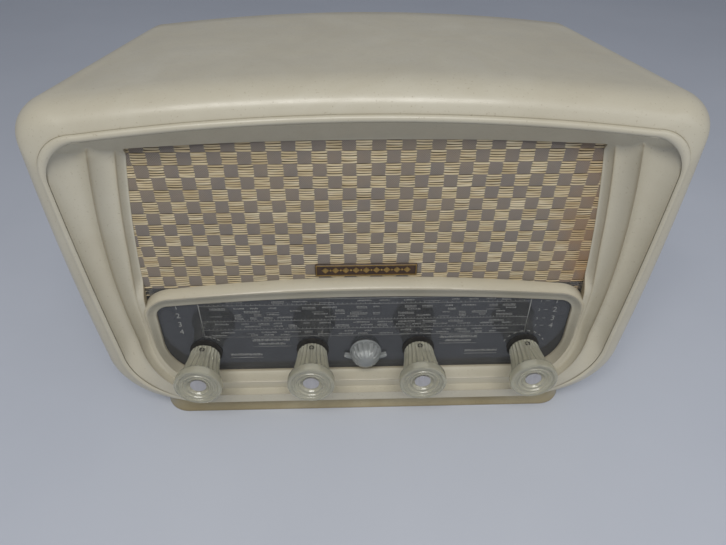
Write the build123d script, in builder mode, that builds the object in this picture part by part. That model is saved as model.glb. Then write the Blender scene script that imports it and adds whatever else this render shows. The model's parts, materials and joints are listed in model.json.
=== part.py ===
"""Bakelite table radio. Millimetres, +Z up, front towards -Y, +X to the right as seen from the front.
The origin is on the table, under the middle of the set from knob faces to rear edge."""

import os
from math import acos, atan2, cos, hypot, pi, radians, sin

from build123d import *

# Driving dimensions
DEPTH = 186.0  # knob faces to the cabinet's rear edge
CLOTH_Y = -DEPTH / 2 + 34.2  # front face of the speaker cloth and of the dial glass
RIM_Y = CLOTH_Y - 17.0  # front plane of the cabinet's rim
REAR_Y = DEPTH / 2
ROLL_DEPTH = 27.0  # the roll from the sides and top to the rim
ROLL_INSET = 14.0
WALL = 4.0
PLINTH_TOP = 17.0
FLOOR_Z = PLINTH_TOP + WALL

KNOB_PITCH = 76.15
KNOB_Z = 55.6
KNOB_FACE_Y = -DEPTH / 2
KNOB_BACK_Y = CLOTH_Y - 3.4
KNOB_R = 16.2
KNOB_NECK_R = 9.35
SHAFT_R = 3.0
RUNNING = 0.05  # radial clearance of a shaft in its bush
CONTROLS = {"volume": -1.5, "tuning": -0.5, "aerial": 0.5, "band": 1.5}  # knob pitches from the middle

CHASSIS_BASE = 27.0
DECK_Z = 74.0
CHASSIS_HALF = 132.0
APRON_Y = CLOTH_Y + 26.0
CHASSIS_REAR = 72.0
SHEET = 1.5

GLASS = 3.0
BACKPLATE_Y = CLOTH_Y + 10.6
CORD_R = 0.4
RUN_Y = CLOTH_Y + 13.0  # plane of the pointer's cord run
RUN_Z = 112.0
DRUM_X = KNOB_PITCH
DRUM_Z = 112.0
DRUM_Y = CLOTH_Y + 16.5  # middle of the drum's groove
DRUM_CORD_R = 60.3
PULLEY_CORD_R = 6.4
SPINDLE_CORD_R = 5.0
PULLEY_LEFT = (-128.0, RUN_Z - PULLEY_CORD_R)
PULLEY_RIGHT = (146.0, RUN_Z + PULLEY_CORD_R)
POINTER_X = -25.0
RAIL_Y = CLOTH_Y + 8.4
RAIL_R = 1.25

SPEAKER_X = -76.0
SPEAKER_Z = 172.0
BAFFLE_BACK = CLOTH_Y + 5.8
AERIAL_Y = 24.0
AERIAL_Z = 210.0
COVER_Y = REAR_Y - 9.0  # front face of the rear cover
COVER_THICK = 3.0
COVER_SCREW_X = 100.0
COVER_SCREWS_Z = (FLOOR_Z + 4.5, 231.5)
CHASSIS_SCREWS = [(x, y) for x in (-101.0, 101.0) for y in (APRON_Y + 14, CHASSIS_REAR - 14)]

os.makedirs("parts", exist_ok=True)


def facing(y):
    """The upright plane at depth y, seen from the front: local x is X and local y is Z."""
    return Plane(origin=(0, y, 0), x_dir=(1, 0, 0), z_dir=(0, -1, 0))


def block(x0, x1, y0, y1, z0, z1, mode=Mode.ADD):
    """A box from its low and high corners."""
    with Locations(((x0 + x1) / 2, (y0 + y1) / 2, (z0 + z1) / 2)):
        Box(x1 - x0, y1 - y0, z1 - z0, mode=mode)


def rod_y(x, z, y0, y1, radius, mode=Mode.ADD):
    """A round bar or bore along Y."""
    with Locations((x, (y0 + y1) / 2, z)):
        Cylinder(radius, y1 - y0, rotation=(90, 0, 0), mode=mode)


def rod_z(x, y, z0, z1, radius, mode=Mode.ADD):
    """A round bar or bore along Z."""
    with Locations((x, y, (z0 + z1) / 2)):
        Cylinder(radius, z1 - z0, mode=mode)


def rod_x(y, z, x0, x1, radius, mode=Mode.ADD):
    """A round bar or bore along X."""
    with Locations(((x0 + x1) / 2, y, z)):
        Cylinder(radius, x1 - x0, rotation=(0, 90, 0), mode=mode)


def outline(y, low, middle, high, bottom, side, top, low_r, high_r):
    """A bowed outline at depth y: half widths at the bottom, middle and top, heights, corner radii."""
    low_x = low - low_r
    high_x = high - high_r
    low_z = bottom + low_r
    high_z = side - high_r
    low_arc = low_r * sin(pi / 4)
    high_arc = high_r * sin(pi / 4)
    mid_z = (low_z + high_z) / 2
    with BuildSketch(facing(y)) as sketch:
        with BuildLine():
            Line((-low_x, bottom), (low_x, bottom))
            ThreePointArc((low_x, bottom), (low_x + low_arc, low_z - low_arc), (low, low_z))
            ThreePointArc((low, low_z), (middle, mid_z), (high, high_z))
            ThreePointArc((high, high_z), (high_x + high_arc, high_z + high_arc), (high_x, side))
            ThreePointArc((high_x, side), (0, top), (-high_x, side))
            ThreePointArc((-high_x, side), (-high_x - high_arc, high_z + high_arc), (-high, high_z))
            ThreePointArc((-high, high_z), (-middle, mid_z), (-low, low_z))
            ThreePointArc((-low, low_z), (-low_x - low_arc, low_z - low_arc), (-low_x, bottom))
        make_face()
    return sketch.sketch


def ellipse(x, z, y, half_x, half_z):
    """An upright ellipse, or a circle, at depth y."""
    with BuildSketch(facing(y)) as sketch:
        with Locations((x, z)):
            Ellipse(half_x, half_z)
    return sketch.sketch


def cabinet_section(y, inset, wall=0.0):
    """The cabinet's outline at depth y, inset by the front roll and by the wall's thickness."""
    t = max(0.0, (y - RIM_Y - ROLL_DEPTH) / (REAR_Y - RIM_Y - ROLL_DEPTH))
    cut = inset + wall
    return outline(
        y,
        177 + (153 - 177) * t - cut,
        187.5 + (161.5 - 187.5) * t - cut,
        188.5 + (162.5 - 188.5) * t - cut,
        PLINTH_TOP + wall + inset * 0.15,
        242.5 + (238.5 - 242.5) * t - cut,
        254 + (246 - 254) * t - cut,
        36 - wall - inset * 0.4,
        23 - wall - inset * 0.3,
    )


# ---------------------------------------------------------------- cabinet
def recess_front():
    """The rim's inner edge, where the fluted front starts."""
    return outline(RIM_Y - 1, 162.5, 170, 173.5, 25, 227, 237, 36, 24)


def recess_back():
    """The floor of the fluted front, round the cloth and the dial."""
    return outline(CLOTH_Y - 3.5, 145, 147, 137.5, 33, 217, 225, 30, 6)


def cloth_opening(y, grow=0.0):
    """The cloth's opening, wider at the bottom."""
    return outline(y, 145 + grow, 140 + grow, 134.5 + grow, 108, 213 + grow, 219.5 + grow, 4, 2)


def dial_edge(y, grow=0.0):
    """The dial's opening, or the surround's outer edge when grown."""
    return outline(
        y, 137 + grow, 142 + grow, 141 + grow, 36 - grow, 97.5 + grow, 105.5 + grow, 30, 9 + grow * 0.5
    )


with BuildPart() as cabinet:
    loft([cabinet_section(RIM_Y, ROLL_INSET), cabinet_section(RIM_Y + 3, 7.5)], ruled=True)
    loft([cabinet_section(RIM_Y + 3, 7.5), cabinet_section(RIM_Y + 10, 3)], ruled=True)
    loft([cabinet_section(RIM_Y + 10, 3), cabinet_section(RIM_Y + ROLL_DEPTH, 0)], ruled=True)
    loft([cabinet_section(RIM_Y + ROLL_DEPTH, 0), cabinet_section(REAR_Y, 0)], ruled=True)
    cavity = [cabinet_section(CLOTH_Y, 0, WALL), cabinet_section(REAR_Y + 1, 0, WALL)]
    loft(cavity, mode=Mode.SUBTRACT, ruled=True)
    # Square holes for the chassis and plinth screws
    for x, y in CHASSIS_SCREWS:
        block(x - 2.2, x + 2.2, y - 2.2, y + 2.2, PLINTH_TOP - 1, FLOOR_Z + 1, Mode.SUBTRACT)
    # Four bosses for the rear cover
    for x in (-COVER_SCREW_X, COVER_SCREW_X):
        for z0, z1 in (
            (COVER_SCREWS_Z[0] - 5.5, COVER_SCREWS_Z[0] + 5),
            (COVER_SCREWS_Z[1] - 5, COVER_SCREWS_Z[1] + 9),
        ):
            block(x - 6, x + 6, COVER_Y - 10, COVER_Y - 0.5, z0, z1)
        for z in COVER_SCREWS_Z:
            rod_y(x, z, COVER_Y - 9, COVER_Y + 1, 1.4, Mode.SUBTRACT)
    # Air slots in the floor
    with Locations((0, 20, FLOOR_Z - WALL / 2)):
        with GridLocations(14, 0, 11, 1):
            Box(5, 52, WALL + 1, mode=Mode.SUBTRACT)
    loft([recess_front(), recess_back()], mode=Mode.SUBTRACT, ruled=True)
    # The dial's raised surround and the two openings
    extrude(dial_edge(CLOTH_Y - 4, 9), amount=6)
    extrude(dial_edge(CLOTH_Y - 4, 11), amount=4)
    extrude(dial_edge(CLOTH_Y + 1), amount=20, mode=Mode.SUBTRACT)
    cloth_hole = extrude(cloth_opening(CLOTH_Y + 1), amount=20, mode=Mode.PRIVATE)
    cloth_hole -= extrude(dial_edge(CLOTH_Y + 2, 11), amount=30, mode=Mode.PRIVATE)
    add(cloth_hole, mode=Mode.SUBTRACT)
    # Flutes down each wing, narrowing towards the dial, and reeds under the dial
    for side in (-1, 1):
        for top, top_r, low, low_r in (
            ((160.5, -17.5), 10.0, (160.5, -18.5), 6.0),
            ((145.0, -10.5), 7.0, (152.0, -13.5), 4.5),
        ):
            start = Vector(side * low[0], CLOTH_Y + low[1], 60)
            end = Vector(side * top[0], CLOTH_Y + top[1], 224)
            with Locations(Plane(origin=start, z_dir=end - start).location):
                Cone(low_r, top_r, (end - start).length, align=(Align.CENTER, Align.CENTER, Align.MIN),
                     mode=Mode.SUBTRACT)
    for z, radius in ((21.5, 2.2), (27.5, 2.6)):
        rod_x(RIM_Y + 1 + 6 * (z - 21.5) / 6, z, -118, 118, radius, Mode.SUBTRACT)
cabinet.part.label = "cabinet"
export_step(cabinet.part, "parts/cabinet.step")


# ---------------------------------------------------------------- plinth
def plinth_plan(inset):
    """The plinth seen from above: bowed front corners, narrower at the back."""
    with BuildSketch() as sketch:
        with BuildLine():
            Polyline(
                (-152 + inset, CLOTH_Y - 8.5 + inset),
                (152 - inset, CLOTH_Y - 8.5 + inset),
                (131 - inset, REAR_Y - 6 - inset),
                (-131 + inset, REAR_Y - 6 - inset),
                close=True,
            )
        make_face()
        fillet(sketch.vertices(), 18 - inset)
    return sketch.sketch


with BuildPart() as plinth:
    extrude(plinth_plan(0), amount=PLINTH_TOP)
    extrude(plinth_plan(6), amount=PLINTH_TOP, mode=Mode.SUBTRACT)
plinth.part.label = "plinth"
export_step(plinth.part, "parts/plinth.step")

# ---------------------------------------------------------------- cloth, baffle and badge
with BuildPart() as speaker_cloth:
    extrude(outline(CLOTH_Y + 0.8, 150, 146.5, 142, 116, 224, 230, 4, 4), amount=0.8)
speaker_cloth.part.label = "speaker_cloth"
export_step(speaker_cloth.part, "parts/speaker_cloth.step")

with BuildPart() as baffle_board:
    extrude(outline(BAFFLE_BACK, 152, 148.5, 144, 116, 227, 233, 4, 4), amount=5)
    extrude(ellipse(SPEAKER_X, SPEAKER_Z, BAFFLE_BACK + 1, 64, 43), amount=8, mode=Mode.SUBTRACT)
    for dx in (-62, 62):
        for dz in (-38, 38):
            rod_y(SPEAKER_X + dx, SPEAKER_Z + dz, BAFFLE_BACK - 6, BAFFLE_BACK + 1, 1.5, Mode.SUBTRACT)
    block(20, 120, BAFFLE_BACK - 6, BAFFLE_BACK + 1, 200, 203, Mode.SUBTRACT)
baffle_board.part.label = "baffle_board"
export_step(baffle_board.part, "parts/baffle_board.step")

with BuildPart() as badge:
    block(-33, 33, CLOTH_Y - 1.5, CLOTH_Y, 123.8, 133.2)
    fillet(badge.edges().filter_by(Axis.Y), 1.2)
    chamfer(badge.faces().sort_by(Axis.Y)[0].edges(), 0.4)
badge.part.label = "badge"
export_step(badge.part, "parts/badge.step")

# ---------------------------------------------------------------- dial
with BuildPart() as dial_glass:
    block(-149, 149, CLOTH_Y, CLOTH_Y + GLASS, 27, 115)
    fillet(dial_glass.edges().filter_by(Axis.Y).group_by(Axis.Z)[0], 22)
    for pitches in CONTROLS.values():
        rod_y(pitches * KNOB_PITCH, KNOB_Z, CLOTH_Y - 1, CLOTH_Y + GLASS + 1, 5, Mode.SUBTRACT)
    rod_y(0, KNOB_Z - 2, CLOTH_Y - 1, CLOTH_Y + GLASS + 1, 7, Mode.SUBTRACT)
dial_glass.part.label = "dial_glass"
export_step(dial_glass.part, "parts/dial_glass.step")

with BuildPart() as felt_washers:
    for pitches in CONTROLS.values():
        rod_y(pitches * KNOB_PITCH, KNOB_Z, CLOTH_Y - 1.2, CLOTH_Y, 11.5)
        rod_y(pitches * KNOB_PITCH, KNOB_Z, CLOTH_Y - 2, CLOTH_Y + 1, 3.6, Mode.SUBTRACT)
felt_washers.part.label = "felt_washers"
export_step(felt_washers.part, "parts/felt_washers.step")

with BuildPart() as jewel:
    with Locations((0, CLOTH_Y - 0.95, KNOB_Z - 2)):
        Sphere(11.55)
    block(-13, 13, CLOTH_Y - 2, CLOTH_Y + 12, KNOB_Z - 15, KNOB_Z + 11, Mode.SUBTRACT)
    rod_y(0, KNOB_Z - 2, CLOTH_Y - 2, CLOTH_Y, 11.5)
    rod_y(0, KNOB_Z - 2, CLOTH_Y, CLOTH_Y + 3.5, 6.5)
jewel.part.label = "jewel"
export_step(jewel.part, "parts/jewel.step")

with BuildPart() as dial_backplate:
    block(-147, 147, BACKPLATE_Y, BACKPLATE_Y + 1.2, 30, 106)
    for pitches in CONTROLS.values():
        rod_y(pitches * KNOB_PITCH, KNOB_Z, BACKPLATE_Y - 1, BACKPLATE_Y + 3, 6, Mode.SUBTRACT)
    for x, z in ((0, KNOB_Z - 2), (-138, 84), (138, 84)):
        rod_y(x, z, BACKPLATE_Y - 1, BACKPLATE_Y + 3, 5.2, Mode.SUBTRACT)
    # Arms that carry the rail and the two pulleys, and feet down to the chassis apron
    for x in (-143, 143):
        block(x - 4, x + 4, BACKPLATE_Y, BACKPLATE_Y + 1.2, 105, 120)
        block(x - 4, x + 4, RAIL_Y - 2.5, BACKPLATE_Y, 115.6, 117.2)
        block(x - 4, x + 4, RAIL_Y - 2.5, RAIL_Y + 2.5, 110, 116)
        rod_x(RAIL_Y, 113.0, x - 5, x + 5, RAIL_R, Mode.SUBTRACT)
        block(x * 0.78 - 5, x * 0.78 + 5, BACKPLATE_Y + 1, APRON_Y, 30, 31.2)
    block(-147, -122, BACKPLATE_Y, BACKPLATE_Y + 1.2, 100, 112)
    for x, z in (PULLEY_LEFT, PULLEY_RIGHT):
        rod_y(x, z, BACKPLATE_Y, RUN_Y + 3.2, 1.5)
        rod_y(x, z, RUN_Y + 2.4, RUN_Y + 3.2, 2.6)
dial_backplate.part.label = "dial_backplate"
export_step(dial_backplate.part, "parts/dial_backplate.step")

with BuildPart() as pointer_rail:
    rod_x(RAIL_Y, 113.0, -147, 147, RAIL_R)
pointer_rail.part.label = "pointer_rail"
export_step(pointer_rail.part, "parts/pointer_rail.step")

with BuildPart() as pointer:
    block(POINTER_X - 6, POINTER_X + 6, RAIL_Y - 2.2, RAIL_Y + 2.2, 110.8, 115.2)
    rod_x(RAIL_Y, 113.0, POINTER_X - 7, POINTER_X + 7, RAIL_R + RUNNING, Mode.SUBTRACT)
    block(POINTER_X - 0.6, POINTER_X + 0.6, RAIL_Y - 2.2, RAIL_Y - 1.4, 62.5, 111)
    block(POINTER_X - 2, POINTER_X + 2, RAIL_Y + 1.6, RUN_Y - CORD_R - 0.3, 110.8, 113.2)
pointer.part.label = "pointer"
export_step(pointer.part, "parts/pointer.step")

# ---------------------------------------------------------------- tuning drive
for name, (x, z) in (("pulley_left", PULLEY_LEFT), ("pulley_right", PULLEY_RIGHT)):
    with BuildPart() as pulley:
        rod_y(x, z, RUN_Y - 1.0, RUN_Y + 2.1, 7.4)
        rod_y(x, z, RUN_Y - 2, RUN_Y + 3, 1.5 + RUNNING, Mode.SUBTRACT)
        with BuildSketch(Plane(origin=(x, 0, z), x_dir=(0, 1, 0), z_dir=(1, 0, 0))):
            with Locations((RUN_Y, PULLEY_CORD_R + 2.0 - 0.75)):
                Rectangle(1.5, 4)
        revolve(axis=Axis((x, 0, z), (0, 1, 0)), mode=Mode.SUBTRACT)
    pulley.part.label = name
    export_step(pulley.part, f"parts/{name}.step")

with BuildPart() as drive_drum:
    rod_y(DRUM_X, DRUM_Z, CLOTH_Y + 14.0, CLOTH_Y + 19.0, 61.6)
    with BuildSketch(Plane(origin=(DRUM_X, 0, DRUM_Z), x_dir=(0, 1, 0), z_dir=(1, 0, 0))):
        with Locations((DRUM_Y, DRUM_CORD_R - CORD_R - 0.3 + 3)):
            Rectangle(3.2, 6)
    revolve(axis=Axis((DRUM_X, 0, DRUM_Z), (0, 1, 0)), mode=Mode.SUBTRACT)
    rod_y(DRUM_X, DRUM_Z, CLOTH_Y + 19.0, CLOTH_Y + 23.0, 8)
    rod_y(DRUM_X, DRUM_Z, CLOTH_Y + 10, CLOTH_Y + 24, SHAFT_R, Mode.SUBTRACT)
    for index in range(5):
        angle = radians(90 + 72 * index)
        x = DRUM_X + 33 * cos(angle)
        z = DRUM_Z + 33 * sin(angle)
        rod_y(x, z, CLOTH_Y + 13, CLOTH_Y + 20, 14, Mode.SUBTRACT)
drive_drum.part.label = "drive_drum"
export_step(drive_drum.part, "parts/drive_drum.step")


CORD_GAP = 0.08  # between a straight run's end and the bend it runs into


def strand(start, end):
    """A straight run of the drive cord."""
    run = Vector(end) - Vector(start)
    first = Vector(start) + run.normalized() * CORD_GAP
    with Locations(Plane(origin=first, z_dir=run).location):
        Cylinder(CORD_R, run.length - 2 * CORD_GAP, align=(Align.CENTER, Align.CENTER, Align.MIN))


def touch(circle_a, radius_a, circle_b, radius_b):
    """Where a belt leaves circle a and meets circle b. A negative radius puts it on the other side."""
    dx = circle_b[0] - circle_a[0]
    dz = circle_b[1] - circle_a[1]
    normal = atan2(dz, dx) + acos((radius_a - radius_b) / hypot(dx, dz))
    ux = cos(normal)
    uz = sin(normal)
    return (
        (circle_a[0] + radius_a * ux, circle_a[1] + radius_a * uz),
        (circle_b[0] + radius_b * ux, circle_b[1] + radius_b * uz),
    )


def bend(centre, y, radius, start, end):
    """The cord round a wheel, between two touching points, anticlockwise seen from the front."""
    first = atan2(start[1] - centre[1], start[0] - centre[0])
    last = atan2(end[1] - centre[1], end[0] - centre[0])
    middle = first + ((last - first) % (2 * pi)) / 2
    with BuildLine() as path:
        ThreePointArc(
            (start[0], y, start[1]),
            (centre[0] + radius * cos(middle), y, centre[1] + radius * sin(middle)),
            (end[0], y, end[1]),
        )
    tangent = (-sin(first), 0, cos(first))
    with BuildSketch(Plane(origin=(start[0], y, start[1]), z_dir=tangent)) as section:
        Circle(CORD_R)
    sweep(section.sketch, path=path.line)


SPINDLE = (CONTROLS["tuning"] * KNOB_PITCH, KNOB_Z)
DRUM = (DRUM_X, DRUM_Z)
run = touch(PULLEY_LEFT, PULLEY_CORD_R, PULLEY_RIGHT, -PULLEY_CORD_R)
to_drum = touch(DRUM, DRUM_CORD_R, PULLEY_RIGHT, PULLEY_CORD_R)
to_spindle = touch(SPINDLE, -SPINDLE_CORD_R, DRUM, DRUM_CORD_R)
to_left = touch(PULLEY_LEFT, -PULLEY_CORD_R, SPINDLE, -SPINDLE_CORD_R)
with BuildPart() as dial_cord:
    for (a, b), start_y, end_y in (
        (run, RUN_Y, RUN_Y),
        (to_drum, DRUM_Y, RUN_Y),
        (to_spindle, DRUM_Y, DRUM_Y),
        (to_left, RUN_Y, DRUM_Y),
    ):
        strand((a[0], start_y, a[1]), (b[0], end_y, b[1]))
    bend(PULLEY_LEFT, RUN_Y, PULLEY_CORD_R, run[0], to_left[0])
    bend(PULLEY_RIGHT, RUN_Y, PULLEY_CORD_R, run[1], to_drum[1])
    bend(DRUM, DRUM_Y, DRUM_CORD_R, to_drum[0], to_spindle[1])
    bend(SPINDLE, DRUM_Y, SPINDLE_CORD_R, to_left[1], to_spindle[0])
dial_cord.part.label = "dial_cord"
export_step(dial_cord.part, "parts/dial_cord.step")


# ---------------------------------------------------------------- controls
def knob_profile():
    """Half of the knob's section along its axis: narrow neck, flared body, thick rim, dished face."""
    with BuildSketch(Plane(origin=(0, 0, 0), x_dir=(0, 1, 0), z_dir=(1, 0, 0))) as sketch:
        with BuildLine():
            Line((KNOB_BACK_Y, 0), (KNOB_BACK_Y, KNOB_NECK_R))
            Spline(
                (KNOB_BACK_Y, KNOB_NECK_R),
                (KNOB_BACK_Y - 11, KNOB_NECK_R + 0.9),
                (KNOB_FACE_Y + 6.5, KNOB_R - 2.2),
            )
            Polyline(
                (KNOB_FACE_Y + 6.5, KNOB_R - 2.2),
                (KNOB_FACE_Y + 5, KNOB_R),
                (KNOB_FACE_Y + 0.8, KNOB_R),
                (KNOB_FACE_Y, KNOB_R - 0.8),
                (KNOB_FACE_Y, KNOB_R - 2),
                (KNOB_FACE_Y + 3, 6),
                (KNOB_FACE_Y + 3, 0),
                (KNOB_BACK_Y, 0),
            )
        make_face()
    return sketch.sketch


FLUTES = 24
SCREW_Y = KNOB_BACK_Y - 5.0
BORE_END = KNOB_BACK_Y - 20.0
for name, pitches in CONTROLS.items():
    knob_x = pitches * KNOB_PITCH
    with BuildPart() as knob:
        revolve(knob_profile(), axis=Axis.Y)
        for index in range(FLUTES):
            angle = 2 * pi * index / FLUTES
            start = Vector(11.0 * cos(angle), KNOB_BACK_Y - 8, 11.0 * sin(angle))
            end = Vector(15.4 * cos(angle), KNOB_FACE_Y + 5.6, 15.4 * sin(angle))
            with Locations(Plane(origin=start, z_dir=end - start).location):
                Cone(0.8, 1.3, (end - start).length, align=(Align.CENTER, Align.CENTER, Align.MIN),
                     mode=Mode.SUBTRACT)
        rod_y(0, 0, BORE_END, KNOB_BACK_Y + 1, SHAFT_R, Mode.SUBTRACT)
        rod_z(0, SCREW_Y, 0, 12, 1.5, Mode.SUBTRACT)
    knob_part = knob.part.moved(Location((knob_x, 0, KNOB_Z)))
    knob_part.label = f"knob_{name}"
    export_step(knob_part, f"parts/knob_{name}.step")

    with BuildPart() as disc:
        rod_y(knob_x, KNOB_Z, KNOB_FACE_Y + 2.2, KNOB_FACE_Y + 3, 5.4)
    disc.part.label = f"disc_{name}"
    export_step(disc.part, f"parts/disc_{name}.step")


def grub_screw(x):
    """The knob's grub screw, a separate solid standing on the shaft."""
    rod_z(x, SCREW_Y, KNOB_Z + SHAFT_R + 0.02, KNOB_Z + 8.6, 1.5)
    block(x - 2, x + 2, SCREW_Y - 0.25, SCREW_Y + 0.25, KNOB_Z + 7.8, KNOB_Z + 9, Mode.SUBTRACT)


with BuildPart() as volume_shaft:
    rod_y(CONTROLS["volume"] * KNOB_PITCH, KNOB_Z, BORE_END, APRON_Y + 6, SHAFT_R)
    rod_y(CONTROLS["volume"] * KNOB_PITCH, KNOB_Z, APRON_Y + 6, APRON_Y + 7.5, 9)
    grub_screw(CONTROLS["volume"] * KNOB_PITCH)
volume_shaft.part.label = "volume_shaft"
export_step(volume_shaft.part, "parts/volume_shaft.step")

with BuildPart() as tuning_spindle:
    rod_y(*SPINDLE, BORE_END, APRON_Y + 12, SHAFT_R)
    rod_y(*SPINDLE, DRUM_Y - 3, DRUM_Y + 3, SPINDLE_CORD_R - CORD_R - 0.3)
    rod_y(*SPINDLE, APRON_Y + 8.6, APRON_Y + 10, 4.5)
    grub_screw(SPINDLE[0])
tuning_spindle.part.label = "tuning_spindle"
export_step(tuning_spindle.part, "parts/tuning_spindle.step")

with BuildPart() as band_shaft:
    rod_y(CONTROLS["band"] * KNOB_PITCH, KNOB_Z, BORE_END, APRON_Y + 44, SHAFT_R)
    for wafer in (14.0, 30.0):
        rod_y(CONTROLS["band"] * KNOB_PITCH, KNOB_Z, APRON_Y + wafer, APRON_Y + wafer + 1.4, 6)
    grub_screw(CONTROLS["band"] * KNOB_PITCH)
band_shaft.part.label = "band_shaft"
export_step(band_shaft.part, "parts/band_shaft.step")

AERIAL_X = CONTROLS["aerial"] * KNOB_PITCH
WHEEL_NEAR = 7.0  # where the two mitre wheels' rims start, from the crossing of their axes
WHEEL_FAR = 13.0
with BuildPart() as aerial_shaft:
    rod_y(AERIAL_X, KNOB_Z, BORE_END, AERIAL_Y - 6, SHAFT_R)
    with Locations((AERIAL_X, AERIAL_Y - (WHEEL_NEAR + WHEEL_FAR) / 2, KNOB_Z)):
        Cone(WHEEL_FAR - 0.3, WHEEL_NEAR - 0.3, WHEEL_FAR - WHEEL_NEAR, rotation=(-90, 0, 0))
    grub_screw(AERIAL_X)
aerial_shaft.part.label = "aerial_shaft"
export_step(aerial_shaft.part, "parts/aerial_shaft.step")

with BuildPart() as aerial_spindle:
    rod_z(AERIAL_X, AERIAL_Y, KNOB_Z + 6, AERIAL_Z - 6, SHAFT_R)
    with Locations((AERIAL_X, AERIAL_Y, KNOB_Z + (WHEEL_NEAR + WHEEL_FAR) / 2)):
        Cone(WHEEL_NEAR - 0.3, WHEEL_FAR - 0.3, WHEEL_FAR - WHEEL_NEAR)
    rod_z(AERIAL_X, AERIAL_Y, DECK_Z + 10.1, DECK_Z + 13, 5)
    # Cradle with two split rings for the ferrite rod
    block(AERIAL_X - 16, AERIAL_X + 16, AERIAL_Y - 4, AERIAL_Y + 4, AERIAL_Z - 9, AERIAL_Z - 6)
    for x in (AERIAL_X - 13, AERIAL_X + 13):
        block(x - 3, x + 3, AERIAL_Y - 4, AERIAL_Y + 4, AERIAL_Z - 7, AERIAL_Z)
        rod_x(AERIAL_Y, AERIAL_Z, x - 3, x + 3, 7)
    rod_x(AERIAL_Y, AERIAL_Z, AERIAL_X - 20, AERIAL_X + 20, 5, Mode.SUBTRACT)
aerial_spindle.part.label = "aerial_spindle"
export_step(aerial_spindle.part, "parts/aerial_spindle.step")

with BuildPart() as ferrite_rod:
    rod_x(AERIAL_Y, AERIAL_Z, AERIAL_X - 53, AERIAL_X + 53, 5)
    for x in (AERIAL_X - 34, AERIAL_X + 34):
        rod_x(AERIAL_Y, AERIAL_Z, x - 11, x + 11, 6.6)
ferrite_rod.part.label = "ferrite_rod"
export_step(ferrite_rod.part, "parts/ferrite_rod.step")

with BuildPart() as volume_control:
    x = CONTROLS["volume"] * KNOB_PITCH
    rod_y(x, KNOB_Z, APRON_Y - 6, APRON_Y + 5, 4.5)
    rod_y(x, KNOB_Z, APRON_Y + SHEET, APRON_Y + 15, 12.5)
    rod_y(x, KNOB_Z, APRON_Y + 15, APRON_Y + 27, 10)
    rod_y(x, KNOB_Z, APRON_Y + 5, APRON_Y + 13, 10.5, Mode.SUBTRACT)
    rod_y(x, KNOB_Z, APRON_Y - 7, APRON_Y + 6, SHAFT_R + RUNNING, Mode.SUBTRACT)
    for dx in (-7, 0, 7):
        block(x + dx - 1, x + dx + 1, APRON_Y + 4, APRON_Y + 4.8, KNOB_Z - 19, KNOB_Z - 9)
volume_control.part.label = "volume_control"
export_step(volume_control.part, "parts/volume_control.step")

with BuildPart() as shaft_bushes:
    for x in (SPINDLE[0], AERIAL_X):
        rod_y(x, KNOB_Z, APRON_Y - 4, APRON_Y + 8, 5)
        rod_y(x, KNOB_Z, APRON_Y - 2.5, APRON_Y, 7.5)
        rod_y(x, KNOB_Z, APRON_Y - 5, APRON_Y + 9, SHAFT_R + RUNNING, Mode.SUBTRACT)
    rod_z(AERIAL_X, AERIAL_Y, DECK_Z - SHEET, DECK_Z + 9.8, 5)
    rod_z(AERIAL_X, AERIAL_Y, DECK_Z, DECK_Z + 2.5, 8)
    rod_z(AERIAL_X, AERIAL_Y, DECK_Z - 3, DECK_Z + 12, SHAFT_R + RUNNING, Mode.SUBTRACT)
shaft_bushes.part.label = "shaft_bushes"
export_step(shaft_bushes.part, "parts/shaft_bushes.step")

with BuildPart() as band_switch:
    x = CONTROLS["band"] * KNOB_PITCH
    rod_y(x, KNOB_Z, APRON_Y - 6, APRON_Y + 4, 4.5)
    block(x - 9, x + 9, APRON_Y + SHEET, APRON_Y + 6, KNOB_Z - 13, KNOB_Z + 13)
    for wafer in (14.0, 30.0):
        rod_y(x, KNOB_Z, APRON_Y + wafer, APRON_Y + wafer + 1.4, 14.5)
        rod_y(x, KNOB_Z, APRON_Y + wafer - 1, APRON_Y + wafer + 3, 6.4, Mode.SUBTRACT)
    for z in (KNOB_Z - 11, KNOB_Z + 11):
        rod_y(x, z, APRON_Y + 5, APRON_Y + 38, 1.4)
    block(x - 4, x + 4, APRON_Y + 36.8, APRON_Y + 38, KNOB_Z - 13, KNOB_Z + 13)
    rod_y(x, KNOB_Z, APRON_Y - 7, APRON_Y + 46, SHAFT_R + RUNNING, Mode.SUBTRACT)
band_switch.part.label = "band_switch"
export_step(band_switch.part, "parts/band_switch.step")

# ---------------------------------------------------------------- chassis
with BuildPart() as chassis:
    block(-CHASSIS_HALF, CHASSIS_HALF, APRON_Y, CHASSIS_REAR, CHASSIS_BASE, DECK_Z)
    block(
        -CHASSIS_HALF + SHEET, CHASSIS_HALF - SHEET, APRON_Y + SHEET, CHASSIS_REAR - SHEET,
        CHASSIS_BASE - 1, DECK_Z - SHEET, Mode.SUBTRACT,
    )
    for x in (-101, 101):
        block(x - 30, x + 30, APRON_Y + SHEET, CHASSIS_REAR - SHEET, CHASSIS_BASE, CHASSIS_BASE + SHEET)
        block(
            x - 20, x + 20, APRON_Y + 30, CHASSIS_REAR - 30,
            CHASSIS_BASE - 1, CHASSIS_BASE + 2, Mode.SUBTRACT,
        )
    for x, y in CHASSIS_SCREWS:
        rod_z(x, y, CHASSIS_BASE - 1, CHASSIS_BASE + 3, 2.2, Mode.SUBTRACT)
    for name, radius in (("volume", 4.5), ("tuning", 5.0), ("aerial", 5.0), ("band", 4.5)):
        rod_y(CONTROLS[name] * KNOB_PITCH, KNOB_Z, APRON_Y - 1, APRON_Y + SHEET + 1, radius, Mode.SUBTRACT)
    rod_z(AERIAL_X, AERIAL_Y, DECK_Z - 3, DECK_Z + 1, 5, Mode.SUBTRACT)
chassis.part.label = "chassis"
export_step(chassis.part, "parts/chassis.step")

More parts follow.
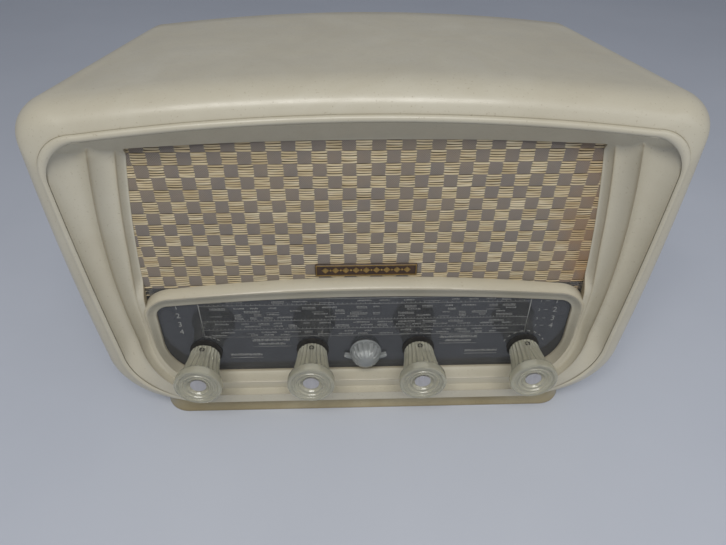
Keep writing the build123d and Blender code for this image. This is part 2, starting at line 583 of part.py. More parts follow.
with BuildPart() as chassis_pads:
    for x, y in CHASSIS_SCREWS:
        rod_z(x, y, FLOOR_Z, CHASSIS_BASE, 7)
        rod_z(x, y, FLOOR_Z - 1, CHASSIS_BASE + 1, 2.2, Mode.SUBTRACT)
chassis_pads.part.label = "chassis_pads"
export_step(chassis_pads.part, "parts/chassis_pads.step")

with BuildPart() as chassis_screws:
    for x, y in CHASSIS_SCREWS:
        rod_z(x, y, PLINTH_TOP - 2.6, PLINTH_TOP, 4)
        rod_z(x, y, PLINTH_TOP - 0.1, CHASSIS_BASE + 8, 2)
        rod_z(x, y, CHASSIS_BASE + SHEET, CHASSIS_BASE + 5, 3.6)
chassis_screws.part.label = "chassis_screws"
export_step(chassis_screws.part, "parts/chassis_screws.step")

# ---------------------------------------------------------------- tuning capacitor
GANG_FRONT = CLOTH_Y + 27.0
GANG_BACK = GANG_FRONT + 48.0
with BuildPart() as gang_frame:
    block(DRUM_X - 22, DRUM_X + 22, GANG_FRONT, GANG_BACK, DRUM_Z - 26, DRUM_Z + 22)
    block(DRUM_X - 20, DRUM_X + 23, GANG_FRONT + 2, GANG_BACK - 2, DRUM_Z - 24, DRUM_Z + 23, Mode.SUBTRACT)
    rod_y(DRUM_X, DRUM_Z, GANG_FRONT - 1, GANG_BACK + 1, SHAFT_R + RUNNING, Mode.SUBTRACT)
    for x in (DRUM_X - 16, DRUM_X + 16):
        for y in (GANG_FRONT + 7, GANG_BACK - 7):
            rod_z(x, y, DECK_Z, DRUM_Z - 25, 4)
gang_frame.part.label = "gang_frame"
export_step(gang_frame.part, "parts/gang_frame.step")

with BuildPart() as gang_stator:
    for section in (GANG_FRONT + 5, GANG_FRONT + 27):
        for plate in range(5):
            y = section + 3.2 * plate
            block(DRUM_X + 6, DRUM_X + 19, y, y + 0.6, DRUM_Z - 18, DRUM_Z + 18)
        for z in (DRUM_Z - 16, DRUM_Z + 16):
            rod_y(DRUM_X + 17, z, section - 1, section + 14.4, 1.2)
    for z in (DRUM_Z - 16, DRUM_Z + 16):
        rod_y(DRUM_X + 17, z, GANG_FRONT + 2, GANG_BACK - 2, 1.2)
gang_stator.part.label = "gang_stator"
export_step(gang_stator.part, "parts/gang_stator.step")

with BuildPart() as gang_rotor:
    rod_y(DRUM_X, DRUM_Z, CLOTH_Y + 14.0, GANG_BACK + 1.5, SHAFT_R)
    for section in (GANG_FRONT + 5, GANG_FRONT + 27):
        rod_y(DRUM_X, DRUM_Z, section - 2, section + 15.5, 4.2)
        for plate in range(4):
            y = section + 3.2 * plate + 1.6
            with BuildSketch(facing(y + 0.6)) as vane:
                with Locations((DRUM_X, DRUM_Z)):
                    Circle(17)
                    with Locations((16 + 2, 0)):
                        Rectangle(36, 60, mode=Mode.SUBTRACT)
                    Circle(4.2)
            extrude(vane.sketch, amount=0.6)
gang_rotor.part.label = "gang_rotor"
export_step(gang_rotor.part, "parts/gang_rotor.step")

# ---------------------------------------------------------------- loudspeaker
BASKET_BACK = BAFFLE_BACK + 32.0
with BuildPart() as speaker_frame:
    extrude(ellipse(SPEAKER_X, SPEAKER_Z, BAFFLE_BACK + 2, 75, 52), amount=2)
    loft(
        [
            ellipse(SPEAKER_X, SPEAKER_Z, BAFFLE_BACK + 2, 69, 46),
            ellipse(SPEAKER_X, SPEAKER_Z, BASKET_BACK, 33, 33),
        ]
    )
    loft(
        [
            ellipse(SPEAKER_X, SPEAKER_Z, BAFFLE_BACK - 1, 69, 46),
            ellipse(SPEAKER_X, SPEAKER_Z, BASKET_BACK - 2, 32, 31.6),
        ],
        mode=Mode.SUBTRACT,
    )
    rod_y(SPEAKER_X, SPEAKER_Z, BASKET_BACK - 4, BASKET_BACK + 1, 13.5, Mode.SUBTRACT)
    for index in range(8):
        angle = radians(22.5 + 45 * index)
        with Locations(Plane(
            origin=(SPEAKER_X, BAFFLE_BACK + 17, SPEAKER_Z),
            x_dir=(0, 1, 0),
            z_dir=(cos(angle), 0, sin(angle)),
        ).location):
            Box(15, 20, 80, align=(Align.CENTER, Align.CENTER, Align.MIN), mode=Mode.SUBTRACT)
    for dx in (-62, 62):
        for dz in (-38, 38):
            rod_y(SPEAKER_X + dx, SPEAKER_Z + dz, BAFFLE_BACK, BAFFLE_BACK + 2, 9)
            rod_y(SPEAKER_X + dx, SPEAKER_Z + dz, BAFFLE_BACK - 1, BAFFLE_BACK + 3, 1.5, Mode.SUBTRACT)
speaker_frame.part.label = "speaker_frame"
export_step(speaker_frame.part, "parts/speaker_frame.step")

with BuildPart() as speaker_cone:
    loft(
        [
            ellipse(SPEAKER_X, SPEAKER_Z, BAFFLE_BACK + 0.2, 66, 43),
            ellipse(SPEAKER_X, SPEAKER_Z, BAFFLE_BACK + 25, 14, 14),
        ]
    )
    loft(
        [
            ellipse(SPEAKER_X, SPEAKER_Z, BAFFLE_BACK - 1, 66, 43),
            ellipse(SPEAKER_X, SPEAKER_Z, BAFFLE_BACK + 24, 13, 13),
        ],
        mode=Mode.SUBTRACT,
    )
    rod_y(SPEAKER_X, SPEAKER_Z, BAFFLE_BACK + 23, BASKET_BACK + 6, 13)
    rod_y(SPEAKER_X, SPEAKER_Z, BAFFLE_BACK + 25, BASKET_BACK + 7, 12, Mode.SUBTRACT)
speaker_cone.part.label = "speaker_cone"
export_step(speaker_cone.part, "parts/speaker_cone.step")

with BuildPart() as speaker_magnet:
    rod_y(SPEAKER_X, SPEAKER_Z, BASKET_BACK, BASKET_BACK + 22, 31)
    rod_y(SPEAKER_X, SPEAKER_Z, BASKET_BACK - 1, BASKET_BACK + 10, 13.5, Mode.SUBTRACT)
    rod_y(SPEAKER_X, SPEAKER_Z, BASKET_BACK - 3, BASKET_BACK + 11, 11.3)
    chamfer(speaker_magnet.faces().sort_by(Axis.Y)[-1].edges(), 3)
speaker_magnet.part.label = "speaker_magnet"
export_step(speaker_magnet.part, "parts/speaker_magnet.step")

with BuildPart() as speaker_screws:
    for dx in (-62, 62):
        for dz in (-38, 38):
            rod_y(SPEAKER_X + dx, SPEAKER_Z + dz, BAFFLE_BACK - 4.9, BAFFLE_BACK + 2, 1.5)
            rod_y(SPEAKER_X + dx, SPEAKER_Z + dz, BAFFLE_BACK + 2, BAFFLE_BACK + 4, 3)
speaker_screws.part.label = "speaker_screws"
export_step(speaker_screws.part, "parts/speaker_screws.step")

# ---------------------------------------------------------------- valves
VALVE_R = 11.0
SOCKET_TOP = DECK_Z + 7.0
VALVES = {  # places on the deck, and glass height
    "small_valves": (((15, 57), (-23, 50), (-59, 50)), 54.0),
    "output_valve": (((-96, 50),), 66.0),
    "rectifier_valve": (((44, 57),), 62.0),
}
for name, (places, height) in VALVES.items():
    with BuildPart() as valve:
        for x, y in places:
            rod_z(x, y, SOCKET_TOP, SOCKET_TOP + height, VALVE_R)
        fillet(valve.faces().filter_by(Plane.XY).group_by(Axis.Z)[-1].edges(), 6)
        for x, y in places:
            rod_z(x, y, SOCKET_TOP + height - 1, SOCKET_TOP + height + 5, 2)
            rod_z(x, y, SOCKET_TOP + 2, SOCKET_TOP + height - 8, VALVE_R - 3.5, Mode.SUBTRACT)
    valve.part.label = name
    export_step(valve.part, f"parts/{name}.step")

with BuildPart() as valve_electrodes:
    for places, height in VALVES.values():
        for x, y in places:
            rod_z(x, y, SOCKET_TOP + 2, SOCKET_TOP + height - 10, VALVE_R - 4.2)
valve_electrodes.part.label = "valve_electrodes"
export_step(valve_electrodes.part, "parts/valve_electrodes.step")

with BuildPart() as valve_sockets:
    for places, height in VALVES.values():
        for x, y in places:
            rod_z(x, y, DECK_Z, SOCKET_TOP, VALVE_R + 1)
            with Locations((x, y, DECK_Z)):
                Box(12, 34, 1.6, align=(Align.CENTER, Align.CENTER, Align.MIN))
valve_sockets.part.label = "valve_sockets"
export_step(valve_sockets.part, "parts/valve_sockets.step")

# ---------------------------------------------------------------- transformers and cans
with BuildPart() as mains_core:
    block(66, 120, 28, 64, DECK_Z, DECK_Z + 56)
    block(74, 84, 27, 65, DECK_Z + 10, DECK_Z + 46, Mode.SUBTRACT)
    block(102, 112, 27, 65, DECK_Z + 10, DECK_Z + 46, Mode.SUBTRACT)
mains_core.part.label = "mains_core"
export_step(mains_core.part, "parts/mains_core.step")

with BuildPart() as mains_winding:
    block(74.3, 111.7, 19, 73, DECK_Z + 10.3, DECK_Z + 45.7)
    fillet(mains_winding.edges().filter_by(Axis.Z), 4)
    block(84, 102, 18, 74, DECK_Z + 9, DECK_Z + 47, Mode.SUBTRACT)
    block(84, 102, 20, 27.7, DECK_Z + 10.3, DECK_Z + 45.7)
    block(84, 102, 64.3, 72, DECK_Z + 10.3, DECK_Z + 45.7)
mains_winding.part.label = "mains_winding"
export_step(mains_winding.part, "parts/mains_winding.step")

with BuildPart() as output_transformer:
    block(-120, -84, -24, -6, DECK_Z, DECK_Z + 32)
    block(-113, -91, -30, 0, DECK_Z + 6, DECK_Z + 26)
    fillet(output_transformer.edges().filter_by(Axis.Z), 1)
output_transformer.part.label = "output_transformer"
export_step(output_transformer.part, "parts/output_transformer.step")

with BuildPart() as smoothing_can:
    rod_z(-106, 17, DECK_Z, DECK_Z + 72, 12.5)
    fillet(smoothing_can.faces().sort_by(Axis.Z)[-1].edges(), 1.5)
    rod_z(-106, 17, DECK_Z, DECK_Z + 4, 14.5)
smoothing_can.part.label = "smoothing_can"
export_step(smoothing_can.part, "parts/smoothing_can.step")

with BuildPart() as if_cans:
    for x, y in ((0, 20), (-42, 16)):
        with Locations((x, y, DECK_Z)):
            Box(25, 25, 52, align=(Align.CENTER, Align.CENTER, Align.MIN))
    fillet(if_cans.edges().filter_by(Axis.Z), 2)
    for x, y in ((0, 20), (-42, 16)):
        rod_z(x, y, DECK_Z + 48, DECK_Z + 53, 3, Mode.SUBTRACT)
if_cans.part.label = "if_cans"
export_step(if_cans.part, "parts/if_cans.step")

with BuildPart() as coil_formers:
    for x in (66, 82):
        for y in (0, 22):
            rod_z(x, y, DECK_Z - SHEET - 30, DECK_Z - SHEET, 5)
            rod_z(x, y, DECK_Z - SHEET - 22, DECK_Z - SHEET - 8, 7)
coil_formers.part.label = "coil_formers"
export_step(coil_formers.part, "parts/coil_formers.step")

# ---------------------------------------------------------------- lamps
LAMPS = ((0, KNOB_Z - 2), (-138, 84), (138, 84))
with BuildPart() as dial_lamps:
    for x, z in LAMPS:
        rod_y(x, z, BACKPLATE_Y - 2, BACKPLATE_Y + 4, 4.6)
        with Locations((x, BACKPLATE_Y - 1.5, z)):
            Sphere(4.6)
dial_lamps.part.label = "dial_lamps"
export_step(dial_lamps.part, "parts/dial_lamps.step")

with BuildPart() as lamp_holders:
    for x, z in LAMPS:
        rod_y(x, z, BACKPLATE_Y + 1.2, BACKPLATE_Y + 13, 5.6)
        block(x - 7, x + 7, BACKPLATE_Y + 1.2, BACKPLATE_Y + 2.2, z - 8, z - 4)
        rod_y(x, z, BACKPLATE_Y + 1, BACKPLATE_Y + 4, 4.6, Mode.SUBTRACT)
lamp_holders.part.label = "lamp_holders"
export_step(lamp_holders.part, "parts/lamp_holders.step")

# ---------------------------------------------------------------- rear
with BuildPart() as rear_cover:
    extrude(cabinet_section(COVER_Y + COVER_THICK, 0, WALL + 0.8), amount=COVER_THICK)
    with Locations((0, COVER_Y + COVER_THICK / 2, 190)):
        with Locations(*[
            (column * 15 - 105, 0, row * 14 - 28) for column in range(15) for row in range(5)
        ]):
            Cylinder(4, COVER_THICK + 2, rotation=(90, 0, 0), mode=Mode.SUBTRACT)
    with Locations(*[(column * 18 - 90, COVER_Y + COVER_THICK / 2, 104) for column in range(11)]):
        Box(6, COVER_THICK + 2, 34, mode=Mode.SUBTRACT)
    block(-72, 0, COVER_Y - 1, COVER_Y + 5, 40, 62, Mode.SUBTRACT)
    rod_y(84, 50, COVER_Y - 1, COVER_Y + 5, 7, Mode.SUBTRACT)
    for x in (-COVER_SCREW_X, COVER_SCREW_X):
        for z in COVER_SCREWS_Z:
            rod_y(x, z, COVER_Y - 1, COVER_Y + 5, 2, Mode.SUBTRACT)
rear_cover.part.label = "rear_cover"
export_step(rear_cover.part, "parts/rear_cover.step")

with BuildPart() as rear_screws:
    for x in (-COVER_SCREW_X, COVER_SCREW_X):
        for z in COVER_SCREWS_Z:
            rod_y(x, z, COVER_Y - 8.5, COVER_Y + COVER_THICK, 1.4)
            rod_y(x, z, COVER_Y + COVER_THICK, COVER_Y + COVER_THICK + 2.2, 3.6)
rear_screws.part.label = "rear_screws"
export_step(rear_screws.part, "parts/rear_screws.step")

with BuildPart() as socket_strip:
    block(-70, -2, CHASSIS_REAR, CHASSIS_REAR + 2.5, 42, 60)
    for index in range(4):
        rod_y(-60 + 16 * index, 51, CHASSIS_REAR, CHASSIS_REAR + 9, 4.5)
        rod_y(-60 + 16 * index, 51, CHASSIS_REAR + 1, CHASSIS_REAR + 10, 2, Mode.SUBTRACT)
socket_strip.part.label = "socket_strip"
export_step(socket_strip.part, "parts/socket_strip.step")

with BuildPart() as cord_grommet:
    rod_y(84, 50, COVER_Y - 2, COVER_Y + 5, 9)
    for y0, y1 in ((COVER_Y - 3, COVER_Y - 2), (COVER_Y, COVER_Y + COVER_THICK)):
        with BuildSketch(facing(y1)) as groove:
            with Locations((84, 50)):
                Circle(12)
                Circle(7, mode=Mode.SUBTRACT)
        extrude(groove.sketch, amount=y1 - y0, mode=Mode.SUBTRACT)
    rod_y(84, 50, COVER_Y - 3, COVER_Y + 6, 3.6, Mode.SUBTRACT)
cord_grommet.part.label = "cord_grommet"
export_step(cord_grommet.part, "parts/cord_grommet.step")
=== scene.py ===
"""The bakelite table radio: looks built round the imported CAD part.

Lengths are in millimetres in the part's own frame until a mesh is made, when MM turns them into metres.
Depths on the front are measured from the speaker cloth's plane, negative towards the viewer.
"""

import json
import math
import random

import bpy
import numpy as np
from mathutils import Matrix, Vector


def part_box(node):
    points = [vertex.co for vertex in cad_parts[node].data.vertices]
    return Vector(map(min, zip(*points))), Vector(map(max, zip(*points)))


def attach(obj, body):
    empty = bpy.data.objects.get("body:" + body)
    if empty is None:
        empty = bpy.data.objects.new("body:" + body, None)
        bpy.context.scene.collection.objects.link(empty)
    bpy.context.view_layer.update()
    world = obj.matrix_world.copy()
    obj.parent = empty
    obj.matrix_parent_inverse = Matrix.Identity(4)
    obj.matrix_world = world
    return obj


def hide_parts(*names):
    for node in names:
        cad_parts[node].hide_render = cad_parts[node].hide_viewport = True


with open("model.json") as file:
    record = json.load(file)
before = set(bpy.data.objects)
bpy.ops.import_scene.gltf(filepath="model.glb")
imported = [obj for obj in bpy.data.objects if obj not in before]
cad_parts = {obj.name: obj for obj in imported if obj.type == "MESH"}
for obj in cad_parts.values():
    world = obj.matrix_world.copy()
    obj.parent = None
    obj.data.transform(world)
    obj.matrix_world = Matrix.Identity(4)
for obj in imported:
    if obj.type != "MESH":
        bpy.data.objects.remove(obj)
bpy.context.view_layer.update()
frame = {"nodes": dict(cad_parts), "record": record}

MM = 0.001
CLOTH_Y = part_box("speaker_cloth")[0].y / MM
REAR_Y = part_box("cabinet")[1].y / MM
CONTROLS = ("volume", "tuning", "aerial", "band")
random.seed(7)


# ---------------------------------------------------------------- camera
CAMERA_PLACE = (-12.2, -360.8, 366.9)
CAMERA_DOWN = 38.58
CAMERA_YAW = 1.916
CAMERA_ROLL = 0.298
CAMERA_LENS = 29.52


def add_camera():
    """The camera at the photograph's place and angle."""
    down = math.radians(CAMERA_DOWN)
    yaw = math.radians(CAMERA_YAW)
    roll = math.radians(CAMERA_ROLL)
    forward = Vector((math.sin(yaw) * math.cos(down), math.cos(yaw) * math.cos(down), -math.sin(down)))
    level = Vector((math.cos(yaw), -math.sin(yaw), 0))
    rise = level.cross(forward)
    right = level * math.cos(roll) + rise * math.sin(roll)
    up = rise * math.cos(roll) - level * math.sin(roll)
    data = bpy.data.cameras.new("camera")
    data.sensor_width = 36
    data.lens = CAMERA_LENS
    data.clip_start = 0.01
    data.clip_end = 50
    camera = bpy.data.objects.new("camera", data)
    bpy.context.scene.collection.objects.link(camera)
    turn = Matrix((right, up, -forward)).transposed().to_4x4()
    camera.matrix_world = Matrix.Translation(Vector(CAMERA_PLACE) * MM) @ turn
    bpy.context.scene.camera = camera


# ---------------------------------------------------------------- materials
class Paint:
    """A node material in the making, with a Principled shader."""

    def __init__(self, name, roughness=0.4, metallic=0.0, **settings):
        self.material = bpy.data.materials.new(name)
        self.material.use_nodes = True
        self.nodes = self.material.node_tree.nodes
        self.links = self.material.node_tree.links
        self.shader = self.nodes["Principled BSDF"]
        self.shader.inputs["Roughness"].default_value = roughness
        self.shader.inputs["Metallic"].default_value = metallic
        for key, value in settings.items():
            self.shader.inputs[key.replace("_", " ")].default_value = value
        self.place = self.nodes.new("ShaderNodeTexCoord").outputs["Object"]

    def node(self, kind, **values):
        made = self.nodes.new("ShaderNode" + kind)
        for key, value in values.items():
            setattr(made, key, value)
        return made

    def stretched(self, scale):
        """The place on the object, scaled by a different amount along each axis."""
        mapping = self.node("Mapping")
        mapping.inputs["Scale"].default_value = scale
        self.links.new(self.place, mapping.inputs["Vector"])
        return mapping.outputs["Vector"]

    def noise(self, scale, detail=4.0, rough=0.55, vector=None, distortion=0.0):
        made = self.node("TexNoise")
        made.inputs["Scale"].default_value = scale
        made.inputs["Detail"].default_value = detail
        made.inputs["Roughness"].default_value = rough
        made.inputs["Distortion"].default_value = distortion
        self.links.new(self.place if vector is None else vector, made.inputs["Vector"])
        return made.outputs["Fac"]

    def wave(self, scale, direction="X", distortion=0.0, vector=None, profile="SIN"):
        made = self.node("TexWave", bands_direction=direction, wave_profile=profile)
        made.inputs["Scale"].default_value = scale
        made.inputs["Distortion"].default_value = distortion
        self.links.new(self.place if vector is None else vector, made.inputs["Vector"])
        return made.outputs["Fac"]

    def ramp(self, value, stops):
        """Colours along a value from 0 to 1: stops are (position, colour)."""
        made = self.node("ValToRGB")
        while len(made.color_ramp.elements) < len(stops):
            made.color_ramp.elements.new(0.5)
        for element, (position, colour) in zip(made.color_ramp.elements, stops):
            element.position = position
            element.color = (*colour, 1)
        self.links.new(value, made.inputs["Fac"])
        return made.outputs["Color"]

    def span(self, value, low, high, start=0.0, end=1.0):
        """A value carried from start..end to low..high."""
        made = self.node("MapRange")
        made.inputs["From Min"].default_value = start
        made.inputs["From Max"].default_value = end
        made.inputs["To Min"].default_value = low
        made.inputs["To Max"].default_value = high
        self.links.new(value, made.inputs["Value"])
        return made.outputs["Result"]

    def mix(self, share, first, second, blend="MIX"):
        made = self.node("Mix", data_type="RGBA", blend_type=blend)
        for socket, value in ((made.inputs[0], share), (made.inputs[6], first), (made.inputs[7], second)):
            if isinstance(value, bpy.types.NodeSocket):
                self.links.new(value, socket)
            elif isinstance(value, tuple):
                socket.default_value = (*value, 1)
            else:
                socket.default_value = value
        return made.outputs[2]

    def maths(self, operation, first, second=0.5):
        made = self.node("Math", operation=operation)
        for socket, value in zip(made.inputs, (first, second)):
            if isinstance(value, bpy.types.NodeSocket):
                self.links.new(value, socket)
            else:
                socket.default_value = value
        return made.outputs["Value"]

    def axis(self, letter):
        made = self.node("SeparateXYZ")
        self.links.new(self.place, made.inputs["Vector"])
        return made.outputs[letter]

    def edges(self):
        """How sharp the surface is. It rises from hollows to edges only where faces are wound outwards."""
        return self.node("NewGeometry").outputs["Pointiness"]

    def colour(self, value):
        self.links.new(value, self.shader.inputs["Base Color"])
        return self

    def roughness(self, value):
        self.links.new(value, self.shader.inputs["Roughness"])
        return self

    def bump(self, value, depth, strength=0.6):
        """Relief of the given depth in millimetres."""
        made = self.node("Bump")
        made.inputs["Strength"].default_value = strength
        made.inputs["Distance"].default_value = depth * MM
        self.links.new(value, made.inputs["Height"])
        last = self.shader.inputs["Normal"].links
        if last:
            self.links.new(last[0].from_socket, made.inputs["Normal"])
        self.links.new(made.outputs["Normal"], self.shader.inputs["Normal"])
        return self


def bakelite(name, dark, main, light, grime_and_shade):
    """Old moulded resin: clouded colour, painted shade in the hollows and a worn tone on sharp edges, grime
    specks, fine orange peel.
    """
    paint = Paint(name, Coat_Weight=0.25, Coat_Roughness=0.18)
    cloud = paint.noise(14, 6, 0.6, distortion=0.8)
    body = paint.ramp(cloud, [(0.3, dark), (0.52, main), (0.75, light)])
    streak = paint.noise(30, 5, 0.6, paint.stretched((1, 1, 0.25)))
    body = paint.mix(paint.span(streak, 0.0, 0.35, 0.45, 0.8), body, dark)
    # Painted shade: the hollows take the dark colour, standing in for the shade that falls in recesses.
    hollow = paint.span(paint.edges(), 0.75, 0.0, 0.40, 0.49)
    body = paint.mix(hollow, body, grime_and_shade)
    worn = paint.span(paint.edges(), 0.0, 0.5, 0.52, 0.62)
    body = paint.mix(worn, body, light)
    # Real grime: small specks in the same dark colour.
    speck = paint.noise(900, 2, 0.5)
    body = paint.mix(paint.span(speck, 0.0, 0.5, 0.66, 0.74), body, grime_and_shade)
    paint.colour(body)
    paint.roughness(paint.span(paint.noise(60, 5, 0.65), 0.30, 0.52, 0.3, 0.7))
    paint.bump(paint.noise(420, 3, 0.5), 0.06, 0.35)
    paint.bump(paint.noise(38, 3, 0.5), 0.25, 0.12)
    return paint.material


def metal(name, dark, light, roughness, grain=(1, 1, 1), stain=(0.25, 0.2, 0.14), stain_share=0.35):
    """Plated or cast metal with grain lines, stains and a broken gloss."""
    paint = Paint(name, metallic=1.0)
    lines = paint.noise(500, 3, 0.6, paint.stretched(grain))
    body = paint.mix(lines, dark, light)
    patch = paint.noise(45, 6, 0.65, distortion=0.5)
    body = paint.mix(paint.span(patch, 0.0, stain_share, 0.52, 0.75), body, stain)
    paint.colour(body)
    paint.roughness(paint.span(patch, roughness * 0.8, min(roughness * 1.6, 0.9), 0.35, 0.7))
    paint.bump(lines, 0.04, 0.35)
    return paint.material


def matt(name, dark, light, roughness, scale=80, relief=0.1, **settings):
    """A plain non-metal with two tones in patches, fine grain and uneven gloss."""
    paint = Paint(name, **settings)
    patch = paint.noise(scale, 6, 0.6, distortion=0.4)
    fine = paint.noise(scale * 12, 3, 0.6)
    body = paint.mix(paint.span(patch, 0.0, 1.0, 0.3, 0.7), dark, light)
    body = paint.mix(paint.span(fine, 0.0, 0.35, 0.5, 0.75), body, dark)
    paint.colour(body)
    paint.roughness(paint.span(fine, roughness * 0.85, min(roughness * 1.15, 1.0), 0.3, 0.7))
    paint.bump(fine, relief, 0.5)
    return paint.material


def clear(name, colour, roughness, share=1.0, ior=1.49, **settings):
    """A see-through material with faint clouding, fine scratches and dust."""
    paint = Paint(name, Transmission_Weight=share, IOR=ior, **settings)
    cloud = paint.noise(70, 4, 0.6)
    dim = tuple(c * 0.86 for c in colour)
    paint.colour(paint.mix(paint.span(cloud, 0.0, 1.0, 0.35, 0.7), colour, dim))
    scratch = paint.noise(160, 5, 0.7, paint.stretched((1, 1, 6)))
    paint.roughness(paint.span(scratch, roughness, roughness + 0.12, 0.5, 0.75))
    paint.bump(paint.noise(300, 2, 0.5), 0.03, 0.25)
    return paint.material


def hardboard(name, dark, light):
    """Pressed board: short fibres, a woven press mark and darker flecks."""
    paint = Paint(name, roughness=0.75)
    fibre = paint.noise(420, 5, 0.7, paint.stretched((1, 1, 0.3)), 1.5)
    body = paint.ramp(fibre, [(0.3, dark), (0.6, light), (0.8, dark)])
    paint.colour(paint.mix(paint.span(paint.noise(24, 4), 0.0, 0.4, 0.4, 0.7), body, dark))
    weave = paint.maths("MULTIPLY", paint.wave(700, "X"), paint.wave(700, "Z"))
    paint.bump(weave, 0.12, 0.5)
    paint.bump(fibre, 0.15, 0.4)
    return paint.material


def build_materials():
    """One material for each of the record's slots."""
    made = {
        # Each bakelite's last colour is both its grime specks and the painted shade in its hollows.
        "bakelite": bakelite("bakelite", (0.475, 0.435, 0.335), (0.505, 0.468, 0.368),
                             (0.545, 0.512, 0.415), (0.27, 0.215, 0.13)),
        # Painted shade: the plinth's bakelite is a darker, more olive copy, for the plinth lying in shade
        # under the cabinet.
        "plinth": bakelite("plinth_bakelite_painted_shade", (0.255, 0.205, 0.105), (0.33, 0.275, 0.16),
                           (0.42, 0.36, 0.23), (0.15, 0.11, 0.055)),
        "board": hardboard("pressed_board", (0.11, 0.06, 0.03), (0.24, 0.145, 0.08)),
        "hardboard": hardboard("rear_board", (0.17, 0.10, 0.055), (0.30, 0.19, 0.11)),
        "felt": matt("felt", (0.012, 0.011, 0.010), (0.035, 0.032, 0.028), 0.95, 260, 0.3),
        "acrylic": clear("acrylic", (0.72, 0.70, 0.57), 0.10, 0.62),
        "jewel": clear("jewel_glass", (0.50, 0.52, 0.51), 0.08, 0.6, ior=1.5),
        "glass": clear("dial_glass", (0.30, 0.31, 0.33), 0.06, 0.85, 1.5),
        "lamp": clear("lamp_glass", (0.95, 0.93, 0.86), 0.02, ior=1.45),
        "valve_glass": clear("valve_glass", (0.82, 0.84, 0.82), 0.02, ior=1.45),
        "steel": metal("plated_steel", (0.42, 0.42, 0.40), (0.62, 0.62, 0.59), 0.34, (1, 1, 0.1)),
        "brass": metal("brass", (0.46, 0.33, 0.13), (0.68, 0.51, 0.23), 0.33, (1, 0.1, 1)),
        "aluminium": metal("aluminium", (0.55, 0.55, 0.55), (0.74, 0.74, 0.73), 0.36, (1, 1, 0.15),
                           stain_share=0.12),
        "silver": metal("silvered_disc", (0.50, 0.48, 0.48), (0.70, 0.68, 0.68), 0.30, (1, 1, 0.1),
                        stain_share=0.2),
        "iron": metal("lacquered_iron", (0.11, 0.105, 0.10), (0.22, 0.21, 0.20), 0.5, (1, 1, 0.3)),
        "dial_paint": matt("dial_paint", (0.016, 0.019, 0.022), (0.035, 0.040, 0.045), 0.6, 60, 0.05),
        "cord": matt("drive_cord", (0.20, 0.17, 0.12), (0.42, 0.37, 0.28), 0.85, 900, 0.2),
        "pointer": matt("pointer_paint", (0.50, 0.47, 0.38), (0.66, 0.62, 0.52), 0.45, 300, 0.03),
        "phenolic": matt("phenolic", (0.06, 0.03, 0.016), (0.13, 0.065, 0.035), 0.45, 120, 0.08),
        "black": matt("black_resin", (0.010, 0.010, 0.011), (0.028, 0.027, 0.026), 0.4, 120, 0.05),
        "rubber": matt("rubber", (0.014, 0.013, 0.012), (0.035, 0.032, 0.030), 0.8, 200, 0.1),
        "ferrite": matt("ferrite", (0.022, 0.020, 0.020), (0.060, 0.055, 0.052), 0.5, 260, 0.08),
        "cone": matt("cone_paper", (0.022, 0.018, 0.014), (0.060, 0.048, 0.036), 0.9, 240, 0.25),
        "badge": matt("badge_ground", (0.022, 0.010, 0.004), (0.060, 0.028, 0.010), 0.38, 180, 0.08),
        "cloth": thread_material(),
    }
    return made


def thread_material():
    """Grey woven thread: fine crossed diagonals, two tones, browning towards the right-hand edge."""
    paint = Paint("grey_thread", roughness=0.9)
    one = paint.wave(520, "DIAGONAL", 1.0, paint.stretched((1, 0.2, 1)))
    two = paint.wave(520, "DIAGONAL", 1.0, paint.stretched((-1, 0.2, 1)))
    cross = paint.maths("MULTIPLY", one, two)
    body = paint.mix(cross, (0.15, 0.125, 0.105), (0.44, 0.40, 0.36))
    patch = paint.noise(30, 5, 0.6)
    body = paint.mix(paint.span(patch, 0.0, 0.5, 0.4, 0.7), body, (0.30, 0.235, 0.16))
    body = paint.mix(browning(paint), body, (0.33, 0.17, 0.055))
    paint.colour(body)
    paint.bump(cross, 0.3, 0.8)
    return paint.material


def browning(paint):
    """A share that rises towards the cloth's right-hand edge and its corners, in uneven patches."""
    side = paint.span(paint.axis("X"), 0.0, 0.75, 0.112, 0.148)
    patch = paint.span(paint.noise(34, 4, 0.6), 0.2, 1.0, 0.35, 0.6)
    return paint.maths("MULTIPLY", side, patch)


def straw_material():
    """Flat straw: long fibres, each strip its own tone, darker dusty gaps."""
    paint = Paint("straw", roughness=0.55)
    tone = paint.noise(420, 2, 0.5, paint.stretched((0.12, 0.1, 1)))
    body = paint.ramp(
        tone, [(0.25, (0.46, 0.355, 0.20)), (0.5, (0.62, 0.51, 0.32)), (0.72, (0.74, 0.65, 0.46))]
    )
    fibre = paint.noise(2600, 3, 0.6, paint.stretched((0.03, 1, 1)))
    body = paint.mix(paint.span(fibre, 0.0, 0.4, 0.4, 0.7), body, (0.30, 0.20, 0.09))
    body = paint.mix(browning(paint), body, (0.36, 0.185, 0.055))
    paint.colour(body)
    paint.bump(fibre, 0.12, 0.7)
    return paint.material


def backing_material():
    """The dark thread between the straws."""
    paint = Paint("backing_thread", roughness=0.95)
    weave = paint.maths("MULTIPLY", paint.wave(900, "X"), paint.wave(900, "Z"))
    paint.colour(paint.mix(weave, (0.045, 0.032, 0.014), (0.12, 0.085, 0.042)))
    paint.bump(weave, 0.2, 0.8)
    return paint.material


# ---------------------------------------------------------------- mesh helpers
def add_piece(name, points, faces, material, body="radio", sharp=38.0):
    """A mesh piece from points in millimetres, shaded smooth up to the sharp angle, riding on a body."""
    mesh = bpy.data.meshes.new(name)
    mesh.from_pydata((np.asarray(points, float) * MM).tolist(), [], faces)
    mesh.validate()
    mesh.shade_smooth()
    if sharp is not None:
        mesh.set_sharp_from_angle(angle=math.radians(sharp))
    mesh.materials.append(material)
    piece = bpy.data.objects.new(name, mesh)
    bpy.context.scene.collection.objects.link(piece)
    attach(piece, body)
    return piece


